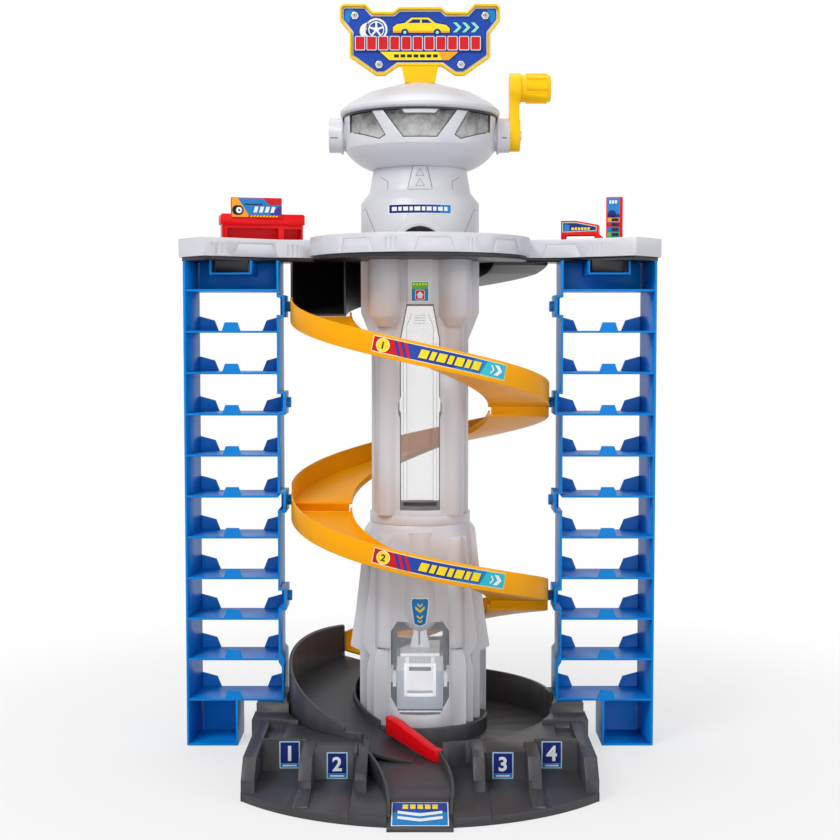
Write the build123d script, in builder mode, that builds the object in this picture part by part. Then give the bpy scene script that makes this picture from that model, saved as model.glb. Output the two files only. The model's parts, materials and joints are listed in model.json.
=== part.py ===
"""Toy parking garage with a hand-cranked car lift.

A light grey tower stands on a dark round base. A lift cabin climbs inside the tower on two
rails, hung on a line that a crank in the head winds up. Cars leave the lift on the deck,
drop through the deck on to a dark ramp, and roll down an orange spiral track to the base,
where a red vane sends them out of the exit lane or round the loop, back to the lift.
Blue parking racks stand left and right and carry the spiral track on short pins.

Frame: +Z up, origin on the floor under the tower's axis, front towards -Y. Millimetres.
"""

import math
import os

from build123d import *

os.makedirs("parts", exist_ok=True)

# ---------------------------------------------------------------- driving dimensions
WALL = 2.4  # usual wall of a moulded shell
THIN = 2.0  # wall of racks and tracks

# tower
SHAFT_R = 42.5  # clear radius inside the whole tower
COLUMN_R = 45.5  # slim column above the ring
FOOT_R = 51.0  # rocket-shaped foot
HEAD_COLUMN_R = 52.0  # wide part under the deck
FOOT_BOTTOM_Z = 24.0
RING_LOW_Z = 212.0
RING_HIGH_Z = 221.0
TAPER_LOW_Z = 384.0
TAPER_HIGH_Z = 408.0

# spiral track
TRACK_OUTER_R = 122.5
TRACK_INNER_R = 64.6
TRACK_TOP_Z = 403.7  # underside of the track at its start, on the left
TRACK_DROP = 84.0  # fall of one half-turn segment
TRACK_STEP = 93.0  # from one segment's start to the next one's start
TRACK_WALL_H = 20.5
TRACK_FLOOR = 2.2
TRACK_CURB_H = 6.0
LAST_SEGMENT_DEG = 129.0

# deck
DECK_UNDER_Z = 457.2
DECK_RIM_LOW_Z = 461.0
DECK_FLOOR_Z = 465.0
DECK_RIM_HIGH_Z = 478.0
DECK_RIM_T = 2.6

# racks
RACK_OUTER_X = 220.5
RACK_INNER_X = 131.5
RACK_FRONT_Y = -25.0
RACK_BACK_Y = 26.0
RACK_SPLAY = 6.0  # how far the outer wall leans in towards the back
BAYS = 10
BAY_PITCH = 38.57
LOWEST_SHELF_Z = 45.1
SHELF_T = 2.0
BIN_INNER_X = 172.3

# base
BASE_DISC_R = 128.0
LOOP_WALL_T = 3.0
LOOP_FLOOR_Z = 12.0
TERRACE_Z = 31.0
FRONT_ARC_R = 197.5
FRONT_ARC_Y = -62.5
LANE_BLOCK_HALF = 57.0
TRAY_T = 7.0

# lift and crank
CABIN_HALF_W = 22.0
CABIN_HALF_L = 35.4
CABIN_LOW_Z = 35.0
CABIN_HIGH_Z = 92.0
CABIN_FLOOR_Z = 38.0
LIFT_TRAVEL = DECK_FLOOR_Z - CABIN_FLOOR_Z
CRANK_TURNS = 5
WINDING_R = LIFT_TRAVEL / (2 * math.pi * CRANK_TURNS)
CRANK_Z = 575.4
LINE_T = 1.0
CRANK_THROW = 43.8

# diverter vane
VANE_PIVOT = (15.5, -117.0)
VANE_LENGTH = 70.0
VANE_REST_DEG = 130.0
PIN_R = 2.0
RUNNING_GAP = 0.05


# ---------------------------------------------------------------- shape helpers
def write(part, name):
    """Label a finished piece and write its file."""
    part.label = name
    export_step(part, f"parts/{name}.step")


def prism(points, plane, amount, mode=Mode.ADD, taper=0):
    """Extrude a closed outline from a plane in the part being built."""
    with BuildSketch(plane) as outline:
        with BuildLine():
            Polyline(*points, close=True)
        make_face()
    extrude(outline.sketch, amount=amount, taper=taper, mode=mode)


def side_prism(points, low_x, high_x, mode=Mode.ADD):
    """Extrude a (y, z) outline along X."""
    prism(points, Plane.YZ.offset(low_x), high_x - low_x, mode)


def front_prism(points, low_y, high_y, mode=Mode.ADD):
    """Extrude an (x, z) outline along Y."""
    prism(points, Plane.XZ.offset(-high_y), high_y - low_y, mode)


def block(low, high, mode=Mode.ADD):
    """A box between two corners."""
    outline = [(low[0], low[1]), (high[0], low[1]), (high[0], high[1]), (low[0], high[1])]
    prism(outline, Plane.XY.offset(low[2]), high[2] - low[2], mode)


def turned(points, mode=Mode.ADD):
    """Revolve a closed (radius, z) outline about the tower's axis."""
    with BuildSketch(Plane.XZ) as outline:
        with BuildLine():
            Polyline(*points, close=True)
        make_face()
    revolve(outline.sketch, axis=Axis.Z, mode=mode)


def round_bar(center, radius, low, high, mode=Mode.ADD):
    """An upright cylinder."""
    with BuildSketch(Plane.XY.offset(low)) as outline:
        with Locations(center):
            Circle(radius)
    extrude(outline.sketch, amount=high - low, mode=mode)


def sector(inner, outer, low, high, start, sweep_deg, mode=Mode.ADD):
    """An upright curved wall about the tower's axis."""
    with BuildSketch(Plane.XY.offset(low)) as outline:
        with BuildLine():
            far = CenterArc((0, 0), outer, start, sweep_deg)
            near = CenterArc((0, 0), inner, start, sweep_deg)
            Line(far @ 0, near @ 0)
            Line(far @ 1, near @ 1)
        make_face()
    extrude(outline.sketch, amount=high - low, mode=mode)


def screw_sweep(section, high_deg, sweep_deg, high_z, drop):
    """Carry a (radius, z) outline down a left-handed screw about the tower's axis.

    The sweep starts at high_deg and high_z and falls by drop as the angle grows by sweep_deg.
    """
    pitch = drop * 360 / sweep_deg
    with BuildPart() as swept:
        with BuildLine() as path:
            Helix(pitch=pitch, height=drop, radius=TRACK_INNER_R, lefthand=True)
        with BuildSketch(Plane(origin=(0, 0, 0), x_dir=(1, 0, 0), z_dir=(0, -1, 0))):
            with BuildLine():
                Polyline(*section, close=True)
            make_face()
        sweep(path=path.line, is_frenet=True)
    return swept.part.moved(Location((0, 0, high_z - drop), (0, 0, high_deg + sweep_deg)))


def polar(radius, degrees):
    """Point on a circle about the tower's axis."""
    angle = math.radians(degrees)
    return (radius * math.cos(angle), radius * math.sin(angle))


# ---------------------------------------------------------------- base
LANE_HALF = 26.5
LANE_WALL_X = 25.2
LANE_FRONT_Z = 8.0
PEDESTAL_R = 60.0
PILLAR_FRONT_Y = -193.0
PILLAR_TOP_Y = -176.0
PILLAR_NOSE_Z = 18.0
PILLAR_Z = 33.0
LANE_PILLAR = (44.7, 54.4)
SIDE_PILLAR = (90.8, 101.7)
OUTER_PILLAR = (138.0, 149.5)
NEAR_SLOT_Y = -154.0
FAR_SLOT_Y = -129.0
RAMP_TOP_Y = -218.0
RAMP_TOE_Y = -268.5
RAMP_SEAT_Z = 7.0
RAMP_HALF = 23.7
LANE_END_Y = -248.5
LANE_MOUTH_DEG = (246.0, 279.0)


def pillar_profile(back_y, low_z=0.0):
    """Side outline of a bay divider: upright nose, sloping brow, level top."""
    return [
        (PILLAR_FRONT_Y, low_z),
        (PILLAR_FRONT_Y, PILLAR_NOSE_Z),
        (PILLAR_TOP_Y, PILLAR_Z),
        (back_y, PILLAR_Z),
        (back_y, low_z),
    ]


with BuildPart() as base_centre:
    with BuildSketch() as plan:
        Circle(BASE_DISC_R)
    extrude(amount=LOOP_FLOOR_Z)
    with BuildSketch() as apron_plan:
        with Locations((0, FRONT_ARC_Y)):
            Circle(FRONT_ARC_R)
        with Locations((0, -160)):
            Rectangle(2 * LANE_BLOCK_HALF, 220, mode=Mode.INTERSECT)
    extrude(amount=LANE_FRONT_Z)
    # the lane's floor narrows and falls gently towards the exit ramp
    lane_plan = [(-55, -112), (-50, -134), (-40, -158), (-31, -186), (-LANE_HALF, RAMP_TOP_Y)]
    lane_plan += [(LANE_HALF, RAMP_TOP_Y), (LANE_HALF, -160), (23, -112)]
    prism(lane_plan, Plane.XY, LOOP_FLOOR_Z)
    lane_fall = [(-126, LOOP_FLOOR_Z), (RAMP_TOP_Y - 1, LANE_FRONT_Z + 1), (RAMP_TOP_Y - 1, LOOP_FLOOR_Z)]
    side_prism(lane_fall, -LANE_BLOCK_HALF, LANE_BLOCK_HALF, Mode.SUBTRACT)
    for side in (-1, 1):
        inner, outer = LANE_PILLAR
        low_x, high_x = sorted((side * inner, side * outer))
        side_prism(pillar_profile(NEAR_SLOT_Y), low_x, high_x)
        side_prism([(-156, 0), (-156, TERRACE_Z), (-100, TERRACE_Z), (-100, 0)], low_x, high_x)
    # curved walls of the exit lane
    with BuildSketch(Plane.XY.offset(TRAY_T)) as left_lane_wall:
        with BuildLine():
            left_curve = ThreePointArc((-55, -117), (-35, -174), (-LANE_WALL_X, -247))
            offset(left_curve, amount=1.2)
        make_face()
    extrude(amount=24)
    with BuildSketch(Plane.XY.offset(TRAY_T)) as right_lane_wall:
        with BuildLine():
            right_curve = ThreePointArc((17.5, -127), (23.5, -160), (LANE_WALL_X, -247))
            offset(right_curve, amount=1.2)
        make_face()
    extrude(amount=20)
    wall_top = [(-90, 33.5), (-250, 17), (-250, 60), (-90, 60)]
    side_prism(wall_top, -64, -22, Mode.SUBTRACT)
    side_prism([(-120, 24), (-250, 17), (-250, 60), (-120, 60)], 14, 34, Mode.SUBTRACT)
    # loop channel: pedestal under the tower and outer walls, open at the exit lane
    sector(TRACK_INNER_R - 1, BASE_DISC_R - LOOP_WALL_T, LOOP_FLOOR_Z, 60, 180, 180, Mode.SUBTRACT)
    round_bar((0, 0), TRACK_INNER_R, LOOP_FLOOR_Z, FOOT_BOTTOM_Z)
    sector(PEDESTAL_R, TRACK_INNER_R, LOOP_FLOOR_Z, 26, 240, 122)
    sector(BASE_DISC_R - LOOP_WALL_T, BASE_DISC_R, 0, TERRACE_Z, LANE_MOUTH_DEG[1], 84)
    sector(BASE_DISC_R - LOOP_WALL_T, BASE_DISC_R, 0, 43, 3, 124)
    sector(TRACK_OUTER_R + 0.5, BASE_DISC_R, 0, TERRACE_Z + 5, 237.5, LANE_MOUTH_DEG[0] - 237.5)
    # seat of the exit ramp, sloping down to the front edge
    ramp_seat = [(RAMP_TOP_Y, 40), (RAMP_TOP_Y, RAMP_SEAT_Z), (-262, 1), (-262, 40)]
    side_prism(ramp_seat, -RAMP_HALF - 0.1, RAMP_HALF + 0.1, Mode.SUBTRACT)
    wide_seat = [(LANE_END_Y, 40), (LANE_END_Y, 2.85), (-262, 1), (-262, 40)]
    side_prism(wide_seat, -LANE_HALF, LANE_HALF, Mode.SUBTRACT)
    # seat of the vane's hinge pin
    round_bar(VANE_PIVOT, PIN_R, 4, 40, Mode.SUBTRACT)
write(base_centre.part, "base_centre")


def wing_outline(side):
    """Plan of one side of the base, left of the lane block when side is -1."""
    return [
        (side * (LANE_BLOCK_HALF + 0.2), -275),
        (side * 150, -275),
        (side * 150, -129),
        (side * 156, -62),
        (side * 156, 30),
        (side * (LANE_BLOCK_HALF + 0.2), 30),
    ]


def base_wing(side):
    """Two parking slots, their dividers and the terraces that carry a rack."""
    gap_r = BASE_DISC_R + 0.2
    with BuildPart() as wing:
        with BuildSketch():
            with BuildLine():
                Polyline(*wing_outline(side), close=True)
            make_face()
            with Locations((0, FRONT_ARC_Y)):
                Circle(FRONT_ARC_R, mode=Mode.INTERSECT)
        extrude(amount=TRAY_T)
        for inner, outer, back_y in ((*SIDE_PILLAR, FAR_SLOT_Y), (*OUTER_PILLAR, -62)):
            low_x, high_x = sorted((side * inner, side * outer))
            side_prism(pillar_profile(back_y), low_x, high_x)
        # low rail that carries the middle divider on to the front edge
        low_x, high_x = sorted((side * SIDE_PILLAR[0], side * SIDE_PILLAR[1]))
        side_prism([(-231.5, 0), (-231.5, 8.5), (PILLAR_FRONT_Y, 11), (PILLAR_FRONT_Y, 0)], low_x, high_x)
        # terraces: behind the near slot, behind the far slot, under the rack
        low_x, high_x = sorted((side * LANE_BLOCK_HALF + side * 0.2, side * SIDE_PILLAR[1]))
        block((low_x, NEAR_SLOT_Y, 0), (high_x, -60, TERRACE_Z))
        low_x, high_x = sorted((side * SIDE_PILLAR[1], side * 122))
        block((low_x, FAR_SLOT_Y, 0), (high_x, -60, TERRACE_Z))
        low_x, high_x = sorted((side * (SIDE_PILLAR[1] - 2), side * OUTER_PILLAR[0]))
        block((low_x, FAR_SLOT_Y, 0), (high_x, FAR_SLOT_Y + 3, 35))
        low_x, high_x = sorted((side * 120, side * OUTER_PILLAR[0]))
        block((low_x, FAR_SLOT_Y, 0), (high_x, -62, 27))
        low_x, high_x = sorted((side * 60, side * 155))
        block((low_x, -62, 0), (high_x, -30, 34.5))
        low_x, high_x = sorted((side * 60, side * 153.5))
        block((low_x, -35, 0), (high_x, 29.5, LOWEST_SHELF_Z - SHELF_T))
        round_bar((0, 0), gap_r, -1, 60, Mode.SUBTRACT)
    return wing.part


base_wing_left = base_wing(-1)
write(base_wing_left, "base_wing_left")
base_wing_right = base_wing(1)
write(base_wing_right, "base_wing_right")

# exit ramp: the sloping plate at the end of the lane, with a turned-down lip
with BuildPart() as exit_ramp:
    ramp_profile = [
        (RAMP_TOP_Y - 0.1, RAMP_SEAT_Z + 0.1),
        (RAMP_TOP_Y - 0.1, RAMP_SEAT_Z + 2.2),
        (RAMP_TOE_Y + 3, 3.6),
        (RAMP_TOE_Y, 2.4),
        (RAMP_TOE_Y, 0),
        (-260.3, 0),
        (-260.3, 1.35),
    ]
    side_prism(ramp_profile, -RAMP_HALF, RAMP_HALF)
    toe_profile = [(LANE_END_Y - 0.1, 2.95), (LANE_END_Y - 0.1, 5.6)] + ramp_profile[2:]
    side_prism(toe_profile, -LANE_HALF + 0.1, LANE_HALF - 0.1)
write(exit_ramp.part, "exit_ramp")

# hinge pin of the vane, pressed into the base
PIN_TOP_Z = 19.6
with BuildPart() as diverter_pin:
    round_bar(VANE_PIVOT, PIN_R, 4, PIN_TOP_Z)
write(diverter_pin.part, "diverter_pin")

# red vane: a blade that sweeps from the tower's foot to the mouth of the exit lane
VANE_LOW_Z = 12.6
VANE_TIP_LOW_Z = 25.0
with BuildPart() as diverter_vane:
    along = math.radians(VANE_REST_DEG)
    blade_plane = Plane(
        origin=(*VANE_PIVOT, 0), x_dir=(math.cos(along), math.sin(along), 0), z_dir=(0, 0, 1)
    )
    blade = [
        (0, -4.5),
        (VANE_LENGTH - 5, -5),
        (VANE_LENGTH, -2.5),
        (VANE_LENGTH, 2.5),
        (VANE_LENGTH - 7, 5.2),
        (0, 4.5),
    ]
    prism(blade, blade_plane.offset(VANE_LOW_Z), 27)
    round_bar(VANE_PIVOT, 4.5, VANE_LOW_Z, 24.6)
    # underside and top both rise towards the tower, following the landing channel's floor
    side_plane = Plane(
        origin=(*VANE_PIVOT, 0),
        x_dir=blade_plane.x_dir,
        z_dir=(math.sin(along), -math.cos(along), 0),
    )
    below = [(-10, 0), (-10, VANE_LOW_Z), (6, VANE_LOW_Z), (VANE_LENGTH + 1, VANE_TIP_LOW_Z), (VANE_LENGTH + 1, 0)]
    prism(below, side_plane.offset(-15), 30, Mode.SUBTRACT)
    above = [(-10, 60), (-10, 22.2), (6, 22.6), (VANE_LENGTH - 14, 37), (VANE_LENGTH + 1, 39), (VANE_LENGTH + 1, 60)]
    prism(above, side_plane.offset(-15), 30, Mode.SUBTRACT)
    round_bar(VANE_PIVOT, PIN_R + RUNNING_GAP, 0, PIN_TOP_Z + 0.4, Mode.SUBTRACT)
write(diverter_vane.part, "diverter_vane")

# dark landing channel: takes over from the spiral track and winds down to the base
LANDING_TOP_Z = 60.0
LANDING_START_DEG = 180 + 3 * 180 + LAST_SEGMENT_DEG - 720
LANDING_SWEEP_DEG = 268 - LANDING_START_DEG
LANDING_DROP = LANDING_TOP_Z - LOOP_FLOOR_Z - 0.6
LANDING_WALL_DEG = 237.2 - LANDING_START_DEG
landing_section = [
    (62.0, -60),
    (64.6, -60),
    (64.6, -3),
    (TRACK_OUTER_R + 0.4, -3),
    (TRACK_OUTER_R + 0.4, 0),
    (64.6, 0),
    (64.6, 7),
    (62.0, 7),
]
landing_floor = screw_sweep(
    landing_section, LANDING_START_DEG, LANDING_SWEEP_DEG, LANDING_TOP_Z, LANDING_DROP
)
with BuildPart() as landing_channel:
    add(landing_floor)
    # the inner skirt ends where the red vane rests
    sector(60, 66, 0, 100, 234, 40, Mode.SUBTRACT)
    sector(TRACK_OUTER_R, TRACK_OUTER_R + 3, 0, 110, LANDING_START_DEG, LANDING_WALL_DEG)
    # the outer wall's top falls along one slanting plane
    top_plane = Plane(
        origin=(-TRACK_OUTER_R - 3, 0, 79),
        x_dir=Vector(1, 1, 0).normalized(),
        z_dir=Vector(0.2485, -0.2485, 1).normalized(),
    )
    with BuildSketch(top_plane) as over:
        Rectangle(500, 500)
    extrude(over.sketch, amount=200, mode=Mode.SUBTRACT)
    block((-200, -200, -100), (200, 200, LOOP_FLOOR_Z), Mode.SUBTRACT)
    # clear of the pedestal
    round_bar((0, 0), TRACK_INNER_R + 0.05, 0, FOOT_BOTTOM_Z, Mode.SUBTRACT)
write(landing_channel.part, "landing_channel")

# upright housing at the lift's back entry: ramp, portal and the screen on its right
with BuildPart() as lift_entry_housing:
    entry_ramp = [(112, 12.05), (52, 36.5), (43.5, 36.5), (43.5, 33), (57, 26.1), (64.9, 26.1), (64.9, 12.05)]
    side_prism(entry_ramp, -19.6, 19.6)
    portal_side = [
        (112, 12.05),
        (112, 26),
        (60.5, 66),
        (60.5, 87),
        (54, 87),
        (54, 24.1),
        (64.9, 24.1),
        (64.9, 12.05),
    ]
    for low_x, high_x in ((-22.2, -19.6), (19.6, 22.2)):
        side_prism(portal_side, low_x, high_x)
    block((-22.2, 54, 84.6), (22.2, 60.5, 87))
    sector(57.8, TRACK_INNER_R, FOOT_BOTTOM_Z + 0.05, 87, 18, 7)
    sector(TRACK_INNER_R + 0.1, 67.7, LOOP_FLOOR_Z + 0.05, 87, 18, 54)
    sector(TRACK_INNER_R - 1, TRACK_INNER_R + 0.2, 60, 87, 18, 7)
    sector(60.5, 66, 31, 81, 17.5, 1.4, Mode.SUBTRACT)
write(lift_entry_housing.part, "lift_entry_housing")

# ---------------------------------------------------------------- spiral track
track_section = [
    (TRACK_INNER_R, 0),
    (TRACK_OUTER_R, 0),
    (TRACK_OUTER_R, TRACK_WALL_H),
    (TRACK_OUTER_R - THIN, TRACK_WALL_H),
    (TRACK_OUTER_R - THIN, TRACK_FLOOR),
    (TRACK_INNER_R + THIN, TRACK_FLOOR),
    (TRACK_INNER_R + THIN, TRACK_CURB_H),
    (TRACK_INNER_R, TRACK_CURB_H),
]
for index, sweep_deg in enumerate((180, 180, 180, LAST_SEGMENT_DEG)):
    start_deg = 180 * (index + 1)
    start_z = TRACK_TOP_Z - TRACK_STEP * index
    drop = TRACK_DROP * sweep_deg / 180
    channel = screw_sweep(track_section, start_deg, sweep_deg, start_z, drop)
    lip_gap = TRACK_STEP - TRACK_DROP - TRACK_FLOOR
    with BuildPart() as track_segment:
        add(channel)
        if sweep_deg == 180:
            # hook at the lower end, standing on the next segment's floor
            end_z = start_z - drop
            lip_deg = start_deg + 180 - 1.2
            sector(TRACK_INNER_R + 3, TRACK_OUTER_R - 3, end_z - lip_gap, end_z + 1, lip_deg, 1.1)
    write(track_segment.part, f"track_segment_{index + 1}")

# dark ramp under the deck, from the hole in the deck round the back to the spiral's start
RAMP_INNER_R = 70.0
RAMP_KNEE_DEG = 22.0
RAMP_KNEE_Z = 447.5
RAMP_START_DEG = 6.0
RAMP_START_Z = 454.8
RAMP_END_Z = TRACK_TOP_Z + TRACK_FLOOR + 0.1
ramp_section = [
    (RAMP_INNER_R, 0),
    (TRACK_OUTER_R, 0),
    (TRACK_OUTER_R, 60),
    (TRACK_OUTER_R - THIN, 60),
    (TRACK_OUTER_R - THIN, TRACK_FLOOR),
    (RAMP_INNER_R + THIN, TRACK_FLOOR),
    (RAMP_INNER_R + THIN, 60),
    (RAMP_INNER_R, 60),
]
ramp_entry = screw_sweep(
    ramp_section, RAMP_START_DEG, RAMP_KNEE_DEG - RAMP_START_DEG, RAMP_START_Z, RAMP_START_Z - RAMP_KNEE_Z
)
ramp_run = screw_sweep(
    ramp_section, RAMP_KNEE_DEG, 180 - RAMP_KNEE_DEG, RAMP_KNEE_Z, RAMP_KNEE_Z - RAMP_END_Z
)
with BuildPart() as upper_ramp:
    add(ramp_entry)
    add(ramp_run)
    block((-200, -200, DECK_UNDER_Z), (200, 200, DECK_UNDER_Z + 80), Mode.SUBTRACT)
write(upper_ramp.part, "upper_ramp")

# ---------------------------------------------------------------- racks
BACK_PANEL_T = 2.0
TAB_HALF_BASE = 8.7
TAB_HALF_TOP = 6.0
TAB_H = 7.9
LIP_WALL_H = 14.0
LIP_KNEE_H = 10.0
LIP_KNEE_X = 14.5
LIP_END_X = 18.5
CLIP_ROWS = ((405.0, 425.4), (313.7, 335.2), (221.6, 241.4), (129.0, 150.0))
CLIP_OUT = 5.4
JOG_Z = 84.0
JOG_OUT = 3.0
CHANNEL_HALF = 19.8
CHANNEL_LOW_Z = 446.2
BAY_CENTRE_X = (RACK_OUTER_X - THIN + RACK_INNER_X + THIN) / 2


def shelf_top(row):
    """Height of a shelf's top, counted from the lowest."""
    return LOWEST_SHELF_Z + BAY_PITCH * row


def bay_outline(side, inner_x=RACK_INNER_X + THIN):
    """Plan of a shelf between the splayed outer wall and the inner wall."""
    outer_front = RACK_OUTER_X - THIN
    return [
        (side * outer_front, RACK_FRONT_Y),
        (side * inner_x, RACK_FRONT_Y),
        (side * inner_x, RACK_BACK_Y),
        (side * (outer_front - RACK_SPLAY), RACK_BACK_Y),
    ]


def rack(side, name):
    """One rack: side walls, header, shelves with stops and lips, and the bin at its foot."""
    with BuildPart() as outer_wall:
        wall_plan = [
            (side * RACK_OUTER_X, RACK_FRONT_Y),
            (side * (RACK_OUTER_X - THIN), RACK_FRONT_Y),
            (side * (RACK_OUTER_X - THIN - RACK_SPLAY), RACK_BACK_Y),
            (side * (RACK_OUTER_X - RACK_SPLAY), RACK_BACK_Y),
        ]
        prism(wall_plan, Plane.XY, DECK_UNDER_Z)
    write(outer_wall.part, f"{name}_outer_wall")

    with BuildPart() as inner_wall:
        low_z = LOWEST_SHELF_Z - SHELF_T
        face = RACK_INNER_X
        wall_front = [
            (side * face, DECK_UNDER_Z),
            (side * (face + THIN), DECK_UNDER_Z),
            (side * (face + THIN), JOG_Z - 4),
            (side * (face + THIN - JOG_OUT), JOG_Z - 9),
            (side * (face + THIN - JOG_OUT), low_z),
            (side * (face - JOG_OUT), low_z),
            (side * (face - JOG_OUT), JOG_Z),
            (side * face, JOG_Z + 4),
        ]
        front_prism(wall_front, RACK_FRONT_Y, RACK_BACK_Y)
        for clip_low, clip_high in CLIP_ROWS:
            low_x, high_x = sorted((side * (face + THIN), side * (face - CLIP_OUT)))
            block((low_x, RACK_FRONT_Y, clip_low), (high_x, 14, clip_high))
        for clip_low, clip_high in CLIP_ROWS:
            low_x, high_x = sorted((side * (face + 3 * THIN), side * (face - CLIP_OUT + THIN)))
            recess_low = (low_x, RACK_FRONT_Y - 1, clip_low + THIN)
            block(recess_low, (high_x, 12, clip_high - THIN), Mode.SUBTRACT)
            # pin that reaches the spiral track's outer wall
            with BuildSketch(Plane.YZ.offset(side * (face - CLIP_OUT))) as pin:
                with Locations((0, (clip_low + clip_high) / 2)):
                    Circle(5)
            pin_length = face - CLIP_OUT - TRACK_OUTER_R - 0.05
            extrude(pin.sketch, amount=-side * pin_length)
    write(inner_wall.part, f"{name}_inner_wall")

    with BuildPart() as header:
        floor_z = shelf_top(BAYS)
        prism(bay_outline(side), Plane.XY.offset(floor_z - SHELF_T), SHELF_T)
        back_low_x, back_high_x = sorted((side * (RACK_INNER_X + THIN), side * 212.4))
        block((back_low_x, RACK_BACK_Y - BACK_PANEL_T, floor_z), (back_high_x, RACK_BACK_Y, DECK_UNDER_Z))
        # channel that holds the deck's tongue
        channel_low = (side * BAY_CENTRE_X - CHANNEL_HALF, RACK_FRONT_Y, CHANNEL_LOW_Z - 1.8)
        block(channel_low, (side * BAY_CENTRE_X + CHANNEL_HALF, RACK_BACK_Y, DECK_UNDER_Z))
        slot_low = (side * BAY_CENTRE_X - CHANNEL_HALF + 1.8, RACK_FRONT_Y - 1, CHANNEL_LOW_Z)
        slot_high = (side * BAY_CENTRE_X + CHANNEL_HALF - 1.8, RACK_BACK_Y + 1, DECK_UNDER_Z + 1)
        block(slot_low, slot_high, Mode.SUBTRACT)
    write(header.part, f"{name}_header")

    with BuildPart() as shelves:
        for row in range(BAYS):
            top = shelf_top(row)
            inner_x = RACK_INNER_X + THIN - (JOG_OUT if row == 0 else 0)
            prism(bay_outline(side, inner_x), Plane.XY.offset(top - SHELF_T), SHELF_T)
            tab = [
                (side * BAY_CENTRE_X - TAB_HALF_BASE, top),
                (side * BAY_CENTRE_X - TAB_HALF_TOP, top + TAB_H),
                (side * BAY_CENTRE_X + TAB_HALF_TOP, top + TAB_H),
                (side * BAY_CENTRE_X + TAB_HALF_BASE, top),
            ]
            front_prism(tab, RACK_FRONT_Y, RACK_FRONT_Y + 1.8)
            wall_xs = ((side * (RACK_OUTER_X - THIN - RACK_SPLAY), -side), (side * inner_x, side))
            for wall_x, inward in wall_xs:
                lip = [
                    (wall_x, top),
                    (wall_x, top + LIP_WALL_H),
                    (wall_x + inward * LIP_KNEE_X, top + LIP_KNEE_H),
                    (wall_x + inward * LIP_END_X, top),
                ]
                front_prism(lip, RACK_BACK_Y - 1.8, RACK_BACK_Y)
    write(shelves.part, f"{name}_shelves")

    with BuildPart() as bin_box:
        top = LOWEST_SHELF_Z - SHELF_T
        bin_plan = [
            (side * (RACK_OUTER_X - THIN), RACK_FRONT_Y),
            (side * BIN_INNER_X, RACK_FRONT_Y),
            (side * BIN_INNER_X, RACK_BACK_Y),
            (side * (RACK_OUTER_X - THIN - RACK_SPLAY), RACK_BACK_Y),
        ]
        prism(bin_plan, Plane.XY, THIN)
        low_x, high_x = sorted((side * BIN_INNER_X, side * (BIN_INNER_X + THIN)))
        block((low_x, RACK_FRONT_Y, 0), (high_x, RACK_BACK_Y, top))
        low_x, high_x = sorted((side * BIN_INNER_X, side * 212.4))
        block((low_x, RACK_BACK_Y - BACK_PANEL_T, 0), (high_x, RACK_BACK_Y, top))
    write(bin_box.part, f"{name}_bin")


rack(-1, "rack_left")
rack(1, "rack_right")

# ---------------------------------------------------------------- tower
FOOT_INNER_R = 49.2
SLIM_INNER_R = 43.1
WINDOW_HALF = 20.0
WINDOW_LOW_Z = 226.0
WINDOW_HIGH_Z = 418.0
DOOR_HALF = 27.1
DOOR_HIGH_Z = 123.0


def half_shell(solid, front):
    """Keep the front or the back half of a tower piece."""
    far = 200
    with BuildPart() as half:
        add(solid)
        if front:
            block((-far, 0, -far), (far, far, 3 * far), Mode.SUBTRACT)
        else:
            block((-far, -far, -far), (far, 0, 3 * far), Mode.SUBTRACT)
    return half.part


NOSE_R = 21.0
NOSE_Y = -33.0
NOSE_LOW_Z = 113.0
RIB_R = 11.0
door = [
    (-18.5, 35.8),
    (18.5, 35.8),
    (DOOR_HALF, 51),
    (DOOR_HALF, 113),
    (DOOR_HALF - 6, DOOR_HIGH_Z),
    (6 - DOOR_HALF, DOOR_HIGH_Z),
    (-DOOR_HALF, 113),
    (-DOOR_HALF, 51),
]
FOOT_SHELL = [(FOOT_INNER_R, 20), (FOOT_INNER_R, 150), (48, 190), (44.6, RING_LOW_Z + 1)]

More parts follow.
